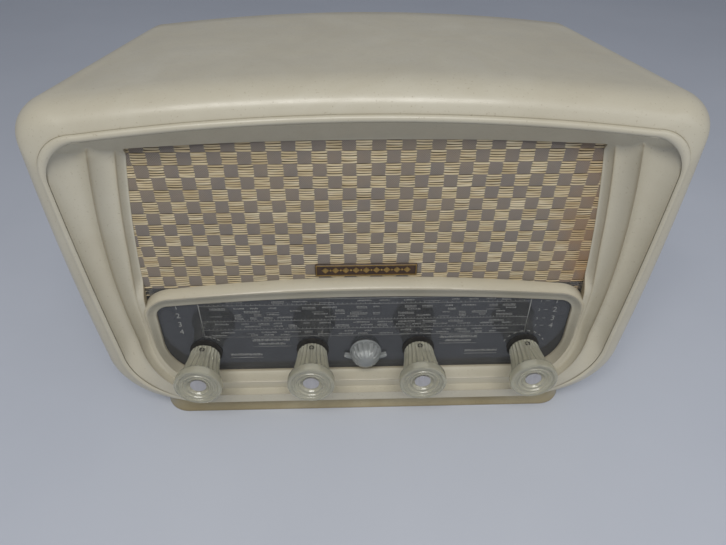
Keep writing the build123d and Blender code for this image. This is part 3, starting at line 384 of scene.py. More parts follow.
def ring_faces(rings, count, close_rings=False, start=0):
    """Quads between rings of count points each. Which way they face follows from the rings' order."""
    faces = []
    last = rings if close_rings else rings - 1
    for r in range(last):
        a = start + r * count
        b = start + ((r + 1) % rings) * count
        for i in range(count):
            j = (i + 1) % count
            faces.append((a + i, b + i, b + j, a + j))
    return faces


def smooth_step(value, low, high):
    """0 below low, 1 above high, and a smooth rise between."""
    t = min(1.0, max(0.0, (value - low) / (high - low)))
    return t * t * (3 - 2 * t)


class Contour:
    """Half of an upright outline, from the middle of its bottom to the middle of its top.

    low and high are the corner ellipses: (centre x, centre z, half width, half height).
    bow is how far the side bulges beyond the straight line between the corners.
    """

    BOTTOM, CORNER, SIDE, TOP = 26, 26, 64, 40

    def __init__(self, bottom, low, bow, high, top):
        self.values = np.array([bottom, *low, bow, *high, top], float)

    def blended(self, other, share):
        """A contour part of the way to another."""
        made = Contour(0, (0, 0, 0, 0), 0, (0, 0, 0, 0), 0)
        made.values = self.values * (1 - share) + other.values * share
        return made

    def side_x(self, z):
        """The half width at height z, between the corners."""
        _, lx, lz, lw, _, bow, hx, hz, hw, _, _ = self.values
        t = (z - lz) / (hz - lz)
        return (lx + lw) * (1 - t) + (hx + hw) * t + bow * 4 * t * (1 - t)

    def half(self):
        bottom, lx, lz, lw, lh, bow, hx, hz, hw, hh, top = self.values
        points = [(lx * i / self.BOTTOM, bottom) for i in range(self.BOTTOM)]
        for i in range(self.CORNER):
            a = math.pi / 2 * (i / self.CORNER - 1)
            lift = (bottom - lz + lh) * (1 - i / self.CORNER)
            points.append((lx + lw * math.cos(a), lz + lh * math.sin(a) + lift))
        for i in range(self.SIDE):
            z = lz + (hz - lz) * i / self.SIDE
            points.append((self.side_x(z), z))
        for i in range(self.CORNER):
            a = math.pi / 2 * i / self.CORNER
            points.append((hx + hw * math.cos(a), hz + hh * math.sin(a)))
        for i in range(self.TOP + 1):
            x = hx * (1 - i / self.TOP)
            points.append((x, top - (top - hz - hh) * (x / hx) ** 2))
        return np.array(points)

    def points(self):
        """The whole outline, anticlockwise seen from the front, starting at the middle of the bottom."""
        right = self.half()
        left = right[-2:0:-1] * (-1, 1)
        return np.concatenate([right, left])


# ---------------------------------------------------------------- the cabinet's outlines
WALL = 4.0
FRONT_D = 10.0
OUTER_FRONT = Contour(17, (142, 60, 41, 43), 2.1, (166, 226, 23, 17.5), 254)
OUTER_REAR = Contour(17, (117, 53, 36, 36), 3.7, (139.5, 215.5, 23, 23), 246)
RIM_INNER = Contour(17.5, (105, 70, 60.5, 52.5), 0.8, (148, 202, 25, 25), 236.5)
RIDGE_A = Contour(25.4, (110, 78, 43.6, 52.6), 4.9, (138, 216, 12, 12), 231.5)
OPENING = Contour(33, (112, 75, 33.5, 42), 3.5, (130.8, 216, 2.2, 2.2), 219.6)
CREST = Contour(33, (112, 75, 33.5, 42), 0, (126, 95.5, 19.9, 17), 118.3)
FOOT = Contour(31.8, (112, 75, 35.3, 43.2), 0, (126, 95.5, 22.6, 19.2), 122.2)
DIAL_EDGE = Contour(36.3, (118, 66, 24, 29.7), 0, (132, 91, 9.7, 9.7), 106.5)


def outer(y, wall=0.0):
    """The outside of the cabinet at depth y, or its inside face with the wall's thickness."""
    front = CLOTH_Y + FRONT_D
    share = max(0.0, (y - front) / (REAR_Y - front))
    made = OUTER_FRONT.blended(OUTER_REAR, share)
    bottom, lx, lz, lw, lh, bow, hx, hz, hw, hh, top = made.values
    made.values = np.array(
        [bottom + wall, lx, lz, lw - wall, lh - wall, bow, hx, hz, hw - wall, hh - wall, top - wall]
    )
    return made


def wing_depth(t, first, last, hollow):
    """A concave flute between two ridges of depth first and last."""
    return first + (last - first) * t + hollow * (4 * t * (1 - t)) ** 0.8


def smooth_min(a, b, k):
    """The lesser of two values, rounded off over a width k where they meet."""
    h = min(1.0, max(0.0, 0.5 + 0.5 * (b - a) / k))
    return b * (1 - h) + a * h - k * h * (1 - h)


RIM_D = -15.0
RIDGE_A_D = -12.0
RIDGE_B_D = -5.0
FACE_D = -0.05
LIP_D = -5.6
BACK_D = -0.02
BEAD_TOP = 236.0
BEAD_FALL = 0.000434
STRIP_SLOPE = 15.0 / 16.0
LOW_FACE_RISE = 5.0


def ridge_share(z):
    """How far the second ridge lies between the first ridge and the opening."""
    return 0.57 + 0.17 * smooth_step(z, 100, 155)


def front_depth(zone, s, x, z):
    """Depth of the fluted front, a share s across a zone.

    Zone 0 runs from the rim to ridge A, zone 1 from there to ridge B, and zone 2 on to the opening.
    """
    x = abs(x)
    side = smooth_step(z, 36, 84)
    edge = RIM_INNER.side_x(max(z, 70))
    ridge = RIDGE_A.side_x(max(z, 78))
    inner = OPENING.side_x(max(z, 75))
    second = ridge + (inner - ridge) * ridge_share(z)
    lip = FACE_D + (LIP_D - FACE_D) * (1 - smooth_step(z, 108, 124))
    width = edge - ridge
    hollow = (min(6.5, 0.45 * max(width, 0.1)), 3.4, 1.3 * smooth_step(z, 108, 124))
    ends = (RIM_D, RIDGE_A_D, RIDGE_B_D, lip)
    by_ring = wing_depth(s, ends[zone], ends[zone + 1], hollow[zone])
    level = smooth_step(z, 100, 130)
    depth = by_ring
    if level > 0:
        if x >= edge:
            across = RIM_D
        elif x >= ridge:
            across = wing_depth((edge - x) / (edge - ridge), RIM_D, RIDGE_A_D, hollow[0])
        elif x >= second:
            across = wing_depth((ridge - x) / (ridge - second), RIDGE_A_D, RIDGE_B_D, hollow[1])
        elif x >= inner:
            across = wing_depth((second - x) / (second - inner), RIDGE_B_D, lip, hollow[2])
        else:
            across = lip
        depth = by_ring * (1 - level) + across * level
        bead_z = BEAD_TOP - BEAD_FALL * x * x
        strip = RIM_D + (bead_z - z) * STRIP_SLOPE
        depth = smooth_min(depth, strip, 1.2)
    if side < 1:
        if zone == 0:
            low = RIM_D
        else:
            whole = s * ridge_share(0) if zone == 1 else ridge_share(0) + s * (1 - ridge_share(0))
            low = RIM_D + LOW_FACE_RISE * smooth_step(whole, 0.0, 0.2)
        depth = low * (1 - side) + depth * side
    return min(depth, FACE_D)


def cabinet_rings():
    """The rings of the shell, from the rear edge round the front and back along the inside."""
    rings = []

    def add(points, depth):
        depth = np.broadcast_to(depth, len(points))
        rings.append(np.column_stack([points[:, 0], CLOTH_Y + depth, points[:, 1]]))

    rear_d = REAR_Y - CLOTH_Y
    add(outer(REAR_Y, 1.2).points(), rear_d)
    add(outer(REAR_Y, 0.35).points(), rear_d - 0.3)
    add(outer(REAR_Y).points(), rear_d - 1.2)
    for step in range(1, 12):
        depth = rear_d - 1.2 + (FRONT_D - rear_d + 1.2) * step / 11
        add(outer(CLOTH_Y + depth).points(), depth)
    front = outer(CLOTH_Y).points()
    rim = RIM_INNER.points()
    flat_low = np.array([smooth_step(z, 20, 40) for z in rim[:, 1]])
    roll = [(FRONT_D - 24 * math.sin(a), 13.5 * (1 - math.cos(a)) ** 1.3)
            for a in np.radians(np.linspace(5, 72, 17))]
    roll += [(-13.7, 10.4), (-14.2, 11.7), (-14.3, 12.05), (-14.05, 12.3)]
    for angle in range(150, -31, -18):
        a = math.radians(angle)
        roll.append((-14.6 - 2.0 * math.sin(a), 14.15 - 2.0 * math.cos(a) * 0.93))
    for depth, inset in roll:
        share = inset / 16.0
        bead = np.where(depth < RIM_D, RIM_D + (depth - RIM_D) * flat_low, depth)
        add(front + (rim - front) * share, bead)
    ridge = RIDGE_A.points()
    inner = OPENING.points()
    crossing = np.array([ridge_share(z) for z in ridge[:, 1]])[:, None]
    second = ridge + (inner - ridge) * crossing
    for zone, (one, two, count) in enumerate(((rim, ridge, 14), (ridge, second, 12), (second, inner, 9))):
        for step in range(0 if zone == 0 else 1, count + 1):
            s = step / count
            points = one + (two - one) * s
            add(points, np.array([front_depth(zone, s, x, z) for x, z in points]))
    behind = np.full(len(inner), BACK_D)
    add(inner, behind)
    inside = outer(CLOTH_Y, WALL).points()
    add(inner + (inside - inner) * 0.5, behind)
    for step in range(0, 6):
        depth = BACK_D + (rear_d - BACK_D) * step / 5
        add(outer(CLOTH_Y + depth, WALL).points(), depth)
    return rings


def build_cabinet(materials):
    """The cabinet's shell, standing for the CAD cabinet."""
    rings = cabinet_rings()
    count = len(rings[0])
    return add_piece("cabinet_shell", np.concatenate(rings), ring_faces(len(rings), count, True),
                     materials["bakelite"], sharp=34)


def build_surround(materials):
    """The raised frame round the dial, one closed ring."""
    foot = FOOT.points()
    crest = CREST.points()
    edge = DIAL_EDGE.points()
    up = np.array([smooth_step(z, 34, 78) for z in crest[:, 1]])
    free = np.array([smooth_step(z, 96, 112) for z in foot[:, 1]])
    crest_d = -10.0 * (1 - up) - 8.0 * up
    foot_d = (-9.0 * (1 - up) - 4.4 * up) * (1 - free) - 0.03 * free
    rings = []

    def add(points, depth):
        depth = np.broadcast_to(depth, len(points))
        rings.append(np.column_stack([points[:, 0], CLOTH_Y + depth, points[:, 1]]))

    slope = crest_d + (foot_d - crest_d) * 0.2
    add(foot, foot_d)
    add(foot + (crest - foot) * 0.3, foot_d + (slope - foot_d) * 0.62)
    add(foot + (crest - foot) * 0.66, slope)
    add(foot + (crest - foot) * 0.85, crest_d + (slope - crest_d) * 0.3)
    add(crest, crest_d)
    inward = edge - crest
    for share, fall in ((0.07, 0.02), (0.16, 0.12), (0.32, 0.34), (0.5, 0.58), (0.68, 0.78), (0.84, 0.92)):
        add(crest + inward * share, crest_d + (-2.0 - crest_d) * fall)
    add(crest + inward * 0.95, -2.1)
    add(edge, -1.7)
    add(edge, -0.03)
    add(foot * 0.5 + edge * 0.5, -0.03)
    add(foot, np.minimum(foot_d + 0.6, -0.02))
    return add_piece("dial_surround", np.concatenate(rings), ring_faces(len(rings), len(foot), True),
                     materials["bakelite"], sharp=50)


# ---------------------------------------------------------------- plinth
PLINTH_FRONT_Y = CLOTH_Y - 8.5
PLINTH_REAR_Y = REAR_Y - 6.0
PLINTH_FRONT_HALF = 152
PLINTH_REAR_HALF = 131
PLINTH_CORNER = 18.0
PLINTH_STEP = 14


def plinth_outline(grow):
    """The plinth seen from above, grown outwards by the given amount."""
    points = []
    corners = (
        (-PLINTH_FRONT_HALF, PLINTH_FRONT_Y, 180),
        (PLINTH_FRONT_HALF, PLINTH_FRONT_Y, 270),
        (PLINTH_REAR_HALF, PLINTH_REAR_Y, 0),
        (-PLINTH_REAR_HALF, PLINTH_REAR_Y, 90),
    )
    radius = PLINTH_CORNER
    for x, y, start in corners:
        cx = x - math.copysign(radius, x)
        cy = y + (radius if y < 0 else -radius)
        for step in range(13):
            a = math.radians(start + 90 * step / 12)
            points.append((cx + (radius + grow) * math.cos(a), cy + (radius + grow) * math.sin(a)))
    made = []
    for (x0, y0), (x1, y1) in zip(points, points[1:] + points[:1]):
        long = math.hypot(x1 - x0, y1 - y0)
        parts = max(1, round(long / PLINTH_STEP))
        made += [(x0 + (x1 - x0) * k / parts, y0 + (y1 - y0) * k / parts) for k in range(parts)]
    return np.array(made)


def build_plinth(materials):
    """The plinth's wall, with a small foot flare at the table and a rounded top edge."""
    profile = [(-0.6, 16.9), (-0.15, 16.4), (0, 15.6), (-0.1, 10), (-0.2, 5.0), (0.15, 2.6), (0.5, 1.4),
               (0.35, 0.35), (-0.3, 0.0), (-5.4, 0.0), (-6.0, 0.6), (-6.0, 16.3), (-5.4, 16.9)]
    rings = []
    for grow, z in profile:
        plan = plinth_outline(grow)
        rings.append(np.column_stack([plan, np.full(len(plan), z)]))
    faces = [tuple(reversed(f)) for f in ring_faces(len(rings), len(rings[0]), True)]
    # Its material is the plinth's bakelite, darkened as painted shade.
    return add_piece("plinth_ring", np.concatenate(rings), faces, materials["plinth"])


# ---------------------------------------------------------------- speaker cloth
CLOTH = Contour(116, (146, 120, 4, 4), 0.5, (138, 220, 4, 4), 230)
SQUARE_X = 8.4
SQUARE_Z = 8.0
GREY_X = 6.6
GREY_Z = 200.8
WEAVE_LOW = 112
WEAVE_TOP = 228
WEAVE_FALL = 0.0003
SHEET_D = 0.40
STRIPS = 5
STRIP_SECTIONS = 7
STRIP_RISE = 0.36
PILLOW_STEPS = 6
PILLOW_RISE = 0.26


def inside_cloth(x, z):
    """Whether a square's middle lies on the cloth that shows."""
    x = abs(x)
    top = WEAVE_TOP - WEAVE_FALL * x * x
    return WEAVE_LOW < z < top and x < CLOTH.side_x(min(max(z, 120), 220))


def build_cloth(materials):
    """The woven cloth: a backing sheet, straw strips in every other square and grey thread between."""
    outline = CLOTH.points()
    middle = np.array([[0.0, 172.0]])
    rings = []
    shares = (0.02, 0.25, 0.5, 0.75, 1.0)
    for depth, order in ((0.42, shares), (0.74, shares[::-1])):
        for share in order:
            flat = middle + (outline - middle) * share
            rings.append(np.column_stack([flat[:, 0], np.full(len(flat), CLOTH_Y + depth), flat[:, 1]]))
    count = len(outline)
    faces = [tuple(reversed(f)) for f in ring_faces(len(rings), count, False)]
    faces.append(tuple(range(count)))
    last = (len(rings) - 1) * count
    faces.append(tuple(range(last + count - 1, last - 1, -1)))
    sheet = add_piece("cloth_sheet", np.concatenate(rings), faces, backing_material())
    straws = build_straws()
    thread = build_thread(materials)
    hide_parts("speaker_cloth")
    return sheet


def squares(grey):
    """Middles of the checker's squares of one kind that lie on the cloth."""
    for row in range(-3, 12):
        for column in range(-22, 22):
            if (row + column) % 2 == (0 if grey else 1):
                x = GREY_X + column * SQUARE_X
                z = GREY_Z - row * SQUARE_Z
                if inside_cloth(x, z):
                    yield x, z


def build_straws():
    """Bundles of flat straw strips, each arched over its square and tucked under at its ends."""
    points, faces = [], []
    pitch = SQUARE_Z / STRIPS
    for x, z in squares(False):
        for strip in range(STRIPS):
            mid = z + (strip - (STRIPS - 1) / 2) * pitch + random.uniform(-0.10, 0.10)
            wide = pitch * random.uniform(0.60, 0.84)
            reach = SQUARE_X * 0.5 + random.uniform(0.15, 0.8)
            lift = random.uniform(0.0, 0.08)
            tilt = random.uniform(-0.12, 0.12)
            base = len(points)
            for k in range(STRIP_SECTIONS):
                t = 2 * k / (STRIP_SECTIONS - 1) - 1
                height = STRIP_RISE * (1 - t * t) ** 0.6 + lift if abs(t) < 1 else 0.0
                cx = min(max(x + t * reach, -CLOTH.side_x(120)), CLOTH.side_x(120))
                for side, drop in ((-1, 0.10), (-0.45, 0.0), (0.45, 0.0), (1, 0.10)):
                    points.append((cx, CLOTH_Y + SHEET_D - height + drop, mid + side * wide / 2 + tilt * t))
                points.append((cx, CLOTH_Y + 0.44, mid + tilt * t))
            for k in range(STRIP_SECTIONS - 1):
                for i in range(5):
                    a = base + k * 5 + i
                    b = base + k * 5 + (i + 1) % 5
                    faces.append((a, b, b + 5, a + 5))
            faces.append(tuple(base + i for i in range(4, -1, -1)))
            faces.append(tuple(base + (STRIP_SECTIONS - 1) * 5 + i for i in range(5)))
    return add_piece("cloth_straws", points, faces, straw_material(), sharp=60)


def build_thread(materials):
    """The grey woven squares between the straw bundles, each a low pillow."""
    points, faces = [], []
    steps = PILLOW_STEPS
    for x, z in squares(True):
        base = len(points)
        half_x = SQUARE_X * 0.5
        half_z = SQUARE_Z * 0.5
        for j in range(steps + 1):
            for i in range(steps + 1):
                u = 2 * i / steps - 1
                v = 2 * j / steps - 1
                rise = PILLOW_RISE * (1 - u ** 4) * (1 - v ** 4)
                points.append((x + u * half_x, CLOTH_Y + SHEET_D - rise, z + v * half_z))
        for j in range(steps):
            for i in range(steps):
                a = base + j * (steps + 1) + i
                faces.append((a, a + 1, a + steps + 2, a + steps + 1))
        edge = [base + i for i in range(steps + 1)]
        edge += [base + j * (steps + 1) + steps for j in range(1, steps + 1)]
        edge += [base + steps * (steps + 1) + i for i in range(steps - 1, -1, -1)]
        edge += [base + j * (steps + 1) for j in range(steps - 1, 0, -1)]
        under = len(points)
        points += [(points[e][0], CLOTH_Y + 0.43, points[e][2]) for e in edge]
        count = len(edge)
        for k in range(count):
            n = (k + 1) % count
            faces.append((edge[k], under + k, under + n, edge[n]))
        faces.append(tuple(under + k for k in range(count)))
    return add_piece("cloth_thread", points, faces, materials["cloth"], sharp=60)


# ---------------------------------------------------------------- knobs
KNOB_PROFILE = (
    # depth behind the face, radius, depth of the flutes
    (10.8, 0.02, 0), (10.8, 3.05, 0), (30.8, 3.05, 0), (30.8, 9.6, 0), (30.4, 10.3, 0.35), (29.4, 10.6, 0.6),
    (25, 10.9, 0.75), (20, 11.5, 0.85), (15, 12.3, 0.9), (11, 13.1, 0.9), (8.4, 13.9, 0.8), (7.2, 14.5, 0.45),
    (6.6, 15.3, 0.1), (6.0, 15.9, 0), (5.0, 16.2, 0), (1.4, 16.2, 0), (0.5, 15.9, 0), (0, 15.2, 0),
    (0, 13.9, 0), (0.45, 13.3, 0), (0.95, 12.9, 0), (0.95, 11.4, 0), (0.5, 11.0, 0), (0.5, 10.3, 0),
    (1.2, 9.8, 0), (1.5, 8.7, 0), (1.1, 8.3, 0), (1.15, 7.6, 0), (2.0, 7.0, 0), (2.9, 6.1, 0),
    (3.02, 0.02, 0),
)
FLUTES = 24
FLUTE_STEPS = 6


def lathe(x, y, z, profile, sides, ripple):
    """Rings round an axis along Y. ripple(angle) is 0 on a crest and 1 in a flute."""
    points = []
    for depth, radius, cut in profile:
        for i in range(sides):
            a = 2 * math.pi * i / sides
            r = max(0.02, radius - cut * ripple(a))
            points.append((x + r * math.cos(a), y + depth, z + r * math.sin(a)))
    faces = [tuple(reversed(f)) for f in ring_faces(len(profile), sides)]
    faces.append(tuple(range(sides - 1, -1, -1)))
    last = (len(profile) - 1) * sides
    faces.append(tuple(range(last, last + sides)))
    return points, faces


def build_knobs(materials):
    """Clear fluted knobs with a thick rim and a ringed, dished face, each with its grub screw's hole lined in
    near-black as painted shade.
    """
    # Painted shade: a near-black lining stands in for the shaded inside of the screw hole.
    hole = matt("screw_hole_shade", (0.006, 0.005, 0.005), (0.02, 0.018, 0.016), 0.6, 200, 0.05)
    for name in CONTROLS:
        low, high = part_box("knob_" + name)
        x = (low.x + high.x) / 2 / MM
        z = (low.z + high.z) / 2 / MM
        points, faces = lathe(x, low.y / MM, z, KNOB_PROFILE, FLUTES * FLUTE_STEPS,
                              lambda a: (0.5 - 0.5 * math.cos(FLUTES * a)) ** 0.7)
        knob = add_piece("fluted_knob_" + name, points, faces, materials["acrylic"],
                         name + "_knob", sharp=32)
        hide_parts("knob_" + name)
        points = []
        rings = ((8.2, 1.35), (10.9, 1.35), (11.05, 1.6), (10.9, 1.75), (10.5, 1.7), (8.2, 1.6))
        for rise, radius in rings:
            for i in range(20):
                a = 2 * math.pi * i / 20
                points.append((x + radius * math.cos(a), high.y / MM - 5.0 + radius * math.sin(a), z + rise))
        add_piece("screw_hole_shade_" + name, points, ring_faces(len(rings), 20, True), hole, name + "_knob")


# ---------------------------------------------------------------- jewel and badge
JEWEL_RIBS = 18
JEWEL_RISE = 10.3
JEWEL_RADIUS = 10.8
LOZENGE_PITCH = 6.6
LOZENGES_EACH_SIDE = 4


def build_jewel(materials):
    """The pilot jewel: a scalloped dome with a fan of ribs, a collar and two small ears."""
    low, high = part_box("jewel")
    x = (low.x + high.x) / 2 / MM
    z = (low.z + high.z) / 2 / MM
    profile = [(3.0, 6.4, 0), (-0.2, 6.4, 0), (-0.2, 11.2, 0), (-1.2, 11.5, 0), (-2.0, 11.3, 0)]
    for step in range(0, 11):
        t = step / 11
        turn = t * math.pi / 2
        profile.append((-2.2 - JEWEL_RISE * math.sin(turn), JEWEL_RADIUS * math.cos(turn) ** 0.8,
                        1.1 * math.cos(turn)))
    profile.append((-12.5, 0.02, 0))
    points, faces = lathe(x, CLOTH_Y, z, profile, JEWEL_RIBS * 8,
                          lambda a: (0.5 - 0.5 * math.cos(JEWEL_RIBS * a)) ** 0.6)
    for side in (-1, 1):
        base = len(points)
        outline = ((10.2, -2.2), (14.8, -1.2), (15.6, -3.2), (13.4, -4.6), (9.2, -6.0))
        for depth in (-0.3, -2.6, -3.2):
            shrink = 0.25 if depth == -3.2 else 0.0
            for px, pz in outline:
                cx, cz = 12.6, -3.4
                ear_x = px + (cx - px) * shrink
                ear_z = pz + (cz - pz) * shrink
                points.append((x + side * ear_x, CLOTH_Y + depth, z + ear_z))
        count = len(outline)
        more = ring_faces(3, count, False, base)
        more.append(tuple(base + i for i in range(count - 1, -1, -1)))
        more.append(tuple(base + 2 * count + i for i in range(count)))
        faces += [tuple(reversed(f)) for f in more] if side > 0 else more
    jewel = add_piece("fan_jewel", points, faces, materials["jewel"], sharp=50)
    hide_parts("jewel")


def build_badge(materials):
    """A plain ornamental strip: dark ground, raised gilt border, lozenges and beads."""
    low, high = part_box("badge")
    gilt = metal("badge_gilt", (0.30, 0.19, 0.06), (0.52, 0.36, 0.14), 0.38,
                 stain=(0.07, 0.04, 0.015), stain_share=0.6)
    half = (high.x - low.x) / 2 / MM
    tall = (high.z - low.z) / 2 / MM
    z = (high.z + low.z) / 2 / MM
    front = low.y / MM + 0.35
    rings = []
    steps = ((0, high.y / MM - 0.02), (0, front + 0.4), (0.5, front), (1.0, front), (1.2, front + 0.35))
    for inset, y in steps:
        w, t = half - inset, tall - inset
        corner = 1.4 - min(inset, 1.0)
        ring = []
        for sx, sz, start in ((1, -1, 270), (1, 1, 0), (-1, 1, 90), (-1, -1, 180)):
            for step in range(5):
                a = math.radians(start + 90 * step / 4)
                ring.append((sx * (w - corner) + corner * math.cos(a), y,
                             z + sz * (t - corner) + corner * math.sin(a)))
        rings += ring
    faces = ring_faces(5, 20)
    faces.append(tuple(range(19, -1, -1)))
    faces.append(tuple(range(80, 100)))
    ground = add_piece("badge_ground", rings, faces, materials["badge"])
    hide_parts("badge")
    points, faces = [], []

    def stud(x, w, t, sides, turn=0.0):
        base = len(points)
        for share, y in ((1.0, front + 0.36), (0.9, front + 0.05), (0.45, front - 0.25)):
            for i in range(sides):
                a = 2 * math.pi * i / sides + turn
                points.append((x + w * share * math.cos(a), y, z + t * share * math.sin(a)))
        faces.extend(ring_faces(3, sides, False, base))
        faces.append(tuple(base + i for i in range(sides - 1, -1, -1)))
        faces.append(tuple(base + 2 * sides + i for i in range(sides)))

    for index in range(-LOZENGES_EACH_SIDE, LOZENGES_EACH_SIDE + 1):
        stud(index * LOZENGE_PITCH, 2.5, 2.4, 4)
    for index in range(-LOZENGES_EACH_SIDE, LOZENGES_EACH_SIDE):
        stud((index + 0.5) * LOZENGE_PITCH, 0.7, 0.8, 12)
    base = len(points)
    for inset, y in ((0.45, front + 0.1), (0.6, front - 0.2), (1.0, front - 0.2), (1.15, front + 0.3)):
        w, t = half - inset, tall - inset
        points += [(w, y, z - t), (w, y, z + t), (-w, y, z + t), (-w, y, z - t)]
    faces += ring_faces(4, 4, True, base)
    add_piece("badge_relief", points, faces, gilt, sharp=30)


# ---------------------------------------------------------------- dial print
PRINT_D = -0.03
PRINT_HALF = 113.0
KNOB_Z = 55.6


class DialPrint:
    """Flat marks printed on the dial glass, gathered into one mesh."""

    def __init__(self):
        self.points = []
        self.faces = []

    def quad(self, corners):
        """One mark, a thin closed slab over four corners (x, z), anticlockwise seen from the front."""
        base = len(self.points)
        for depth in (PRINT_D, PRINT_D + 0.02):
            self.points += [(x, CLOTH_Y + depth, z) for x, z in corners]
        self.faces.append(tuple(base + i for i in range(4)))
        self.faces.append(tuple(base + 4 + i for i in (3, 2, 1, 0)))
        for i in range(4):
            n = (i + 1) % 4
            self.faces.append((base + n, base + i, base + 4 + i, base + 4 + n))

    def bar(self, x0, x1, z, height=0.35):
        self.quad([(x0, z), (x1, z), (x1, z + height), (x0, z + height)])

    def word(self, x0, x1, z, height=1.1):
        """A run of small upright ticks, as dense as fine print, with no letters in it."""
        x = x0
        while x < x1 - 0.4:
            wide = random.choice((0.35, 0.5, 0.65))
            tall = height * random.choice((0.75, 1.0, 1.0))
            self.quad([(x, z), (x + wide, z), (x + wide, z + tall), (x, z + tall)])
            x += wide + random.choice((0.3, 0.4))

    def numeral(self, text, x, z, height):
        """A plain number, centred on x."""
        curve = bpy.data.curves.new("numeral", "FONT")
        curve.body = text
        curve.size = height / 0.7
        curve.align_x = "CENTER"
        curve.extrude = 0.01
        curve.resolution_u = 3
        carrier = bpy.data.objects.new("numeral", curve)
        bpy.context.scene.collection.objects.link(carrier)
        mesh = bpy.data.meshes.new_from_object(carrier.evaluated_get(bpy.context.evaluated_depsgraph_get()))
        base = len(self.points)
        self.points += [(x + v.co.x, CLOTH_Y + PRINT_D + 0.01 - v.co.z, z + v.co.y) for v in mesh.vertices]
        self.faces += [tuple(base + i for i in face.vertices) for face in mesh.polygons]
        bpy.data.objects.remove(carrier)
        bpy.data.meshes.remove(mesh)
        bpy.data.curves.remove(curve)


def build_print():
    """The dial's scales as plain rules, ticks and dashes, with numbers at both ends."""
    dial = DialPrint()
    left, right = -PRINT_HALF, PRINT_HALF
    dial.bar(left, right, 103.6, 0.5)
    for x in (left, right):
        dial.quad([(x - 0.25, 69), (x + 0.25, 69), (x + 0.25, 104), (x - 0.25, 104)])
    for z in (98.6, 84.2, 76.2, 69.2):
        dial.bar(left, right, z, 0.32)
    for z, step in ((98.9, 3.1), (84.5, 2.3), (76.5, 2.7)):
        x = left + 4
        while x < right - 3:
            dial.quad([(x, z), (x + 0.3, z), (x + 0.3, z + 1.1), (x, z + 1.1)])
            x += step
    for z in (101.0, 95.4, 92.6, 89.6, 86.8, 81.2, 78.6, 73.0, 70.4):
        x = left + 4 + random.uniform(0, 12)
        while x < right - 12:
            long = random.uniform(4.5, 11.5)
            if random.random() < 0.72:
                dial.word(x, x + long, z, 1.3)
            if random.random() < 0.3:
                dial.bar(x, x + long, z - 0.75, 0.32)
            x += long + random.uniform(2.5, 9.0)
    for index, z in enumerate((96.5, 88.5, 80.5, 73.5)):
        dial.numeral(str(index + 1), -128, z, 4.4)
        dial.numeral(str(index + 1), 131, z, 4.4)
        dial.numeral(str(2 * index + 1), 120, z + 1, 2.2)
        dial.bar(123, 126, z + 2, 0.3)
    knobs = {}
    for name in CONTROLS:
        low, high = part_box("knob_" + name)
        knobs[name] = (low.x + high.x) / 2 / MM
    for x0, x1 in ((knobs["volume"] + 17, knobs["volume"] + 40), (knobs["band"] - 42, knobs["band"] - 18)):
        dial.word(x0, x1, 50.4, 2.4)
        dial.bar(x0, x1, 48.4, 0.5)
    inner = ((knobs["tuning"] - 42, knobs["tuning"] - 15), (knobs["aerial"] + 15, knobs["aerial"] + 42))
    for x0, x1 in inner:
        dial.word(x0, x1, 64.6, 2.4)
        dial.word(x0 + 4, x1 - 4, 61.0, 2.2)
        dial.bar(x0, x1, 59.4, 0.4)
        dial.bar(x0, x1, 68.0, 0.3)
    for x, spread in ((knobs["band"], range(25, 160, 19)), (knobs["volume"], (48, 60, 72, 84))):
        for degrees in spread:
            corners = []
            for r, a in ((14.6, degrees - 4), (15.4, degrees - 4), (15.4, degrees + 4), (14.6, degrees + 4)):
                angle = math.radians(a)
                corners.append((x + r * math.cos(angle), KNOB_Z + r * math.sin(angle)))
            dial.quad(corners)
    paint = matt("dial_print", (0.20, 0.20, 0.19), (0.34, 0.34, 0.32), 0.6, 200, 0.0)
    add_piece("dial_print", dial.points, dial.faces, paint, sharp=None)


# ---------------------------------------------------------------- floor and light
FLOOR_HALF = 4.0


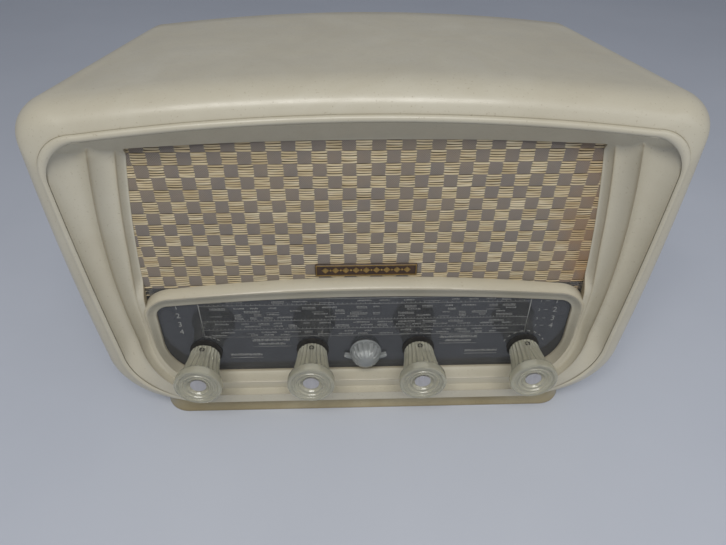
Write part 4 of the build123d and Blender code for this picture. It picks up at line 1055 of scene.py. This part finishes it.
def build_stage():
    """A plain pale floor, in metres."""
    paint = Paint("floor_paper", roughness=0.55)
    cloud = paint.span(paint.noise(3, 4), 0.0, 1.0, 0.3, 0.7)
    body = paint.mix(cloud, (0.52, 0.55, 0.62), (0.56, 0.59, 0.66))
    paint.colour(body)
    paint.bump(paint.noise(900, 2), 0.05, 0.1)
    mesh = bpy.data.meshes.new("floor")
    corners = [(x * FLOOR_HALF, y * FLOOR_HALF, 0) for x, y in ((-1, -1), (1, -1), (1, 1), (-1, 1))]
    mesh.from_pydata(corners, [], [(0, 1, 2, 3)])
    mesh.materials.append(paint.material)
    floor = bpy.data.objects.new("floor", mesh)
    bpy.context.scene.collection.objects.link(floor)


def add_light(name, place, target, size, power, colour):
    """A rectangular area light aimed at a target, in metres and watts."""
    data = bpy.data.lights.new(name, "AREA")
    data.shape = "RECTANGLE"
    data.size, data.size_y = size
    data.energy = power
    data.color = colour
    light = bpy.data.objects.new(name, data)
    bpy.context.scene.collection.objects.link(light)
    light.location = place
    light.rotation_mode = "QUATERNION"
    light.rotation_quaternion = (Vector(target) - Vector(place)).to_track_quat("-Z", "Y")


def add_lights():
    """A dim cool surround, a broad key from the front and above, and a weak fill from the right."""
    world = bpy.data.worlds.new("studio")
    world.use_nodes = True
    back = world.node_tree.nodes["Background"]
    back.inputs["Color"].default_value = (0.84, 0.89, 1.0, 1)
    back.inputs["Strength"].default_value = 0.24
    bpy.context.scene.world = world
    add_light("key", (-0.1, -1.05, 1.45), (0, 0, 0.1), (1.3, 0.5), 19, (1.0, 0.985, 0.95))
    add_light("fill", (1.0, -0.9, 0.8), (0, 0, 0.12), (0.8, 0.8), 2.5, (0.95, 0.97, 1.0))
    bpy.context.scene.view_settings.view_transform = "Standard"


def paint_frame(materials):
    """Every CAD node that stays gets its slot's material."""
    slots = {part["node"]: part["material_slot"] for part in frame["record"]["subparts"]}
    for name, node in frame["nodes"].items():
        node.data.materials.clear()
        node.data.materials.append(materials[slots[name]])


def main():
    """Every piece of the set, its materials, the camera and the light."""
    materials = build_materials()
    add_camera()
    build_stage()
    add_lights()
    paint_frame(materials)
    cabinet = build_cabinet(materials)
    build_surround(materials)
    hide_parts("cabinet")
    plinth = build_plinth(materials)
    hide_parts("plinth")
    build_cloth(materials)
    build_knobs(materials)
    build_jewel(materials)
    build_badge(materials)
    build_print()


main()
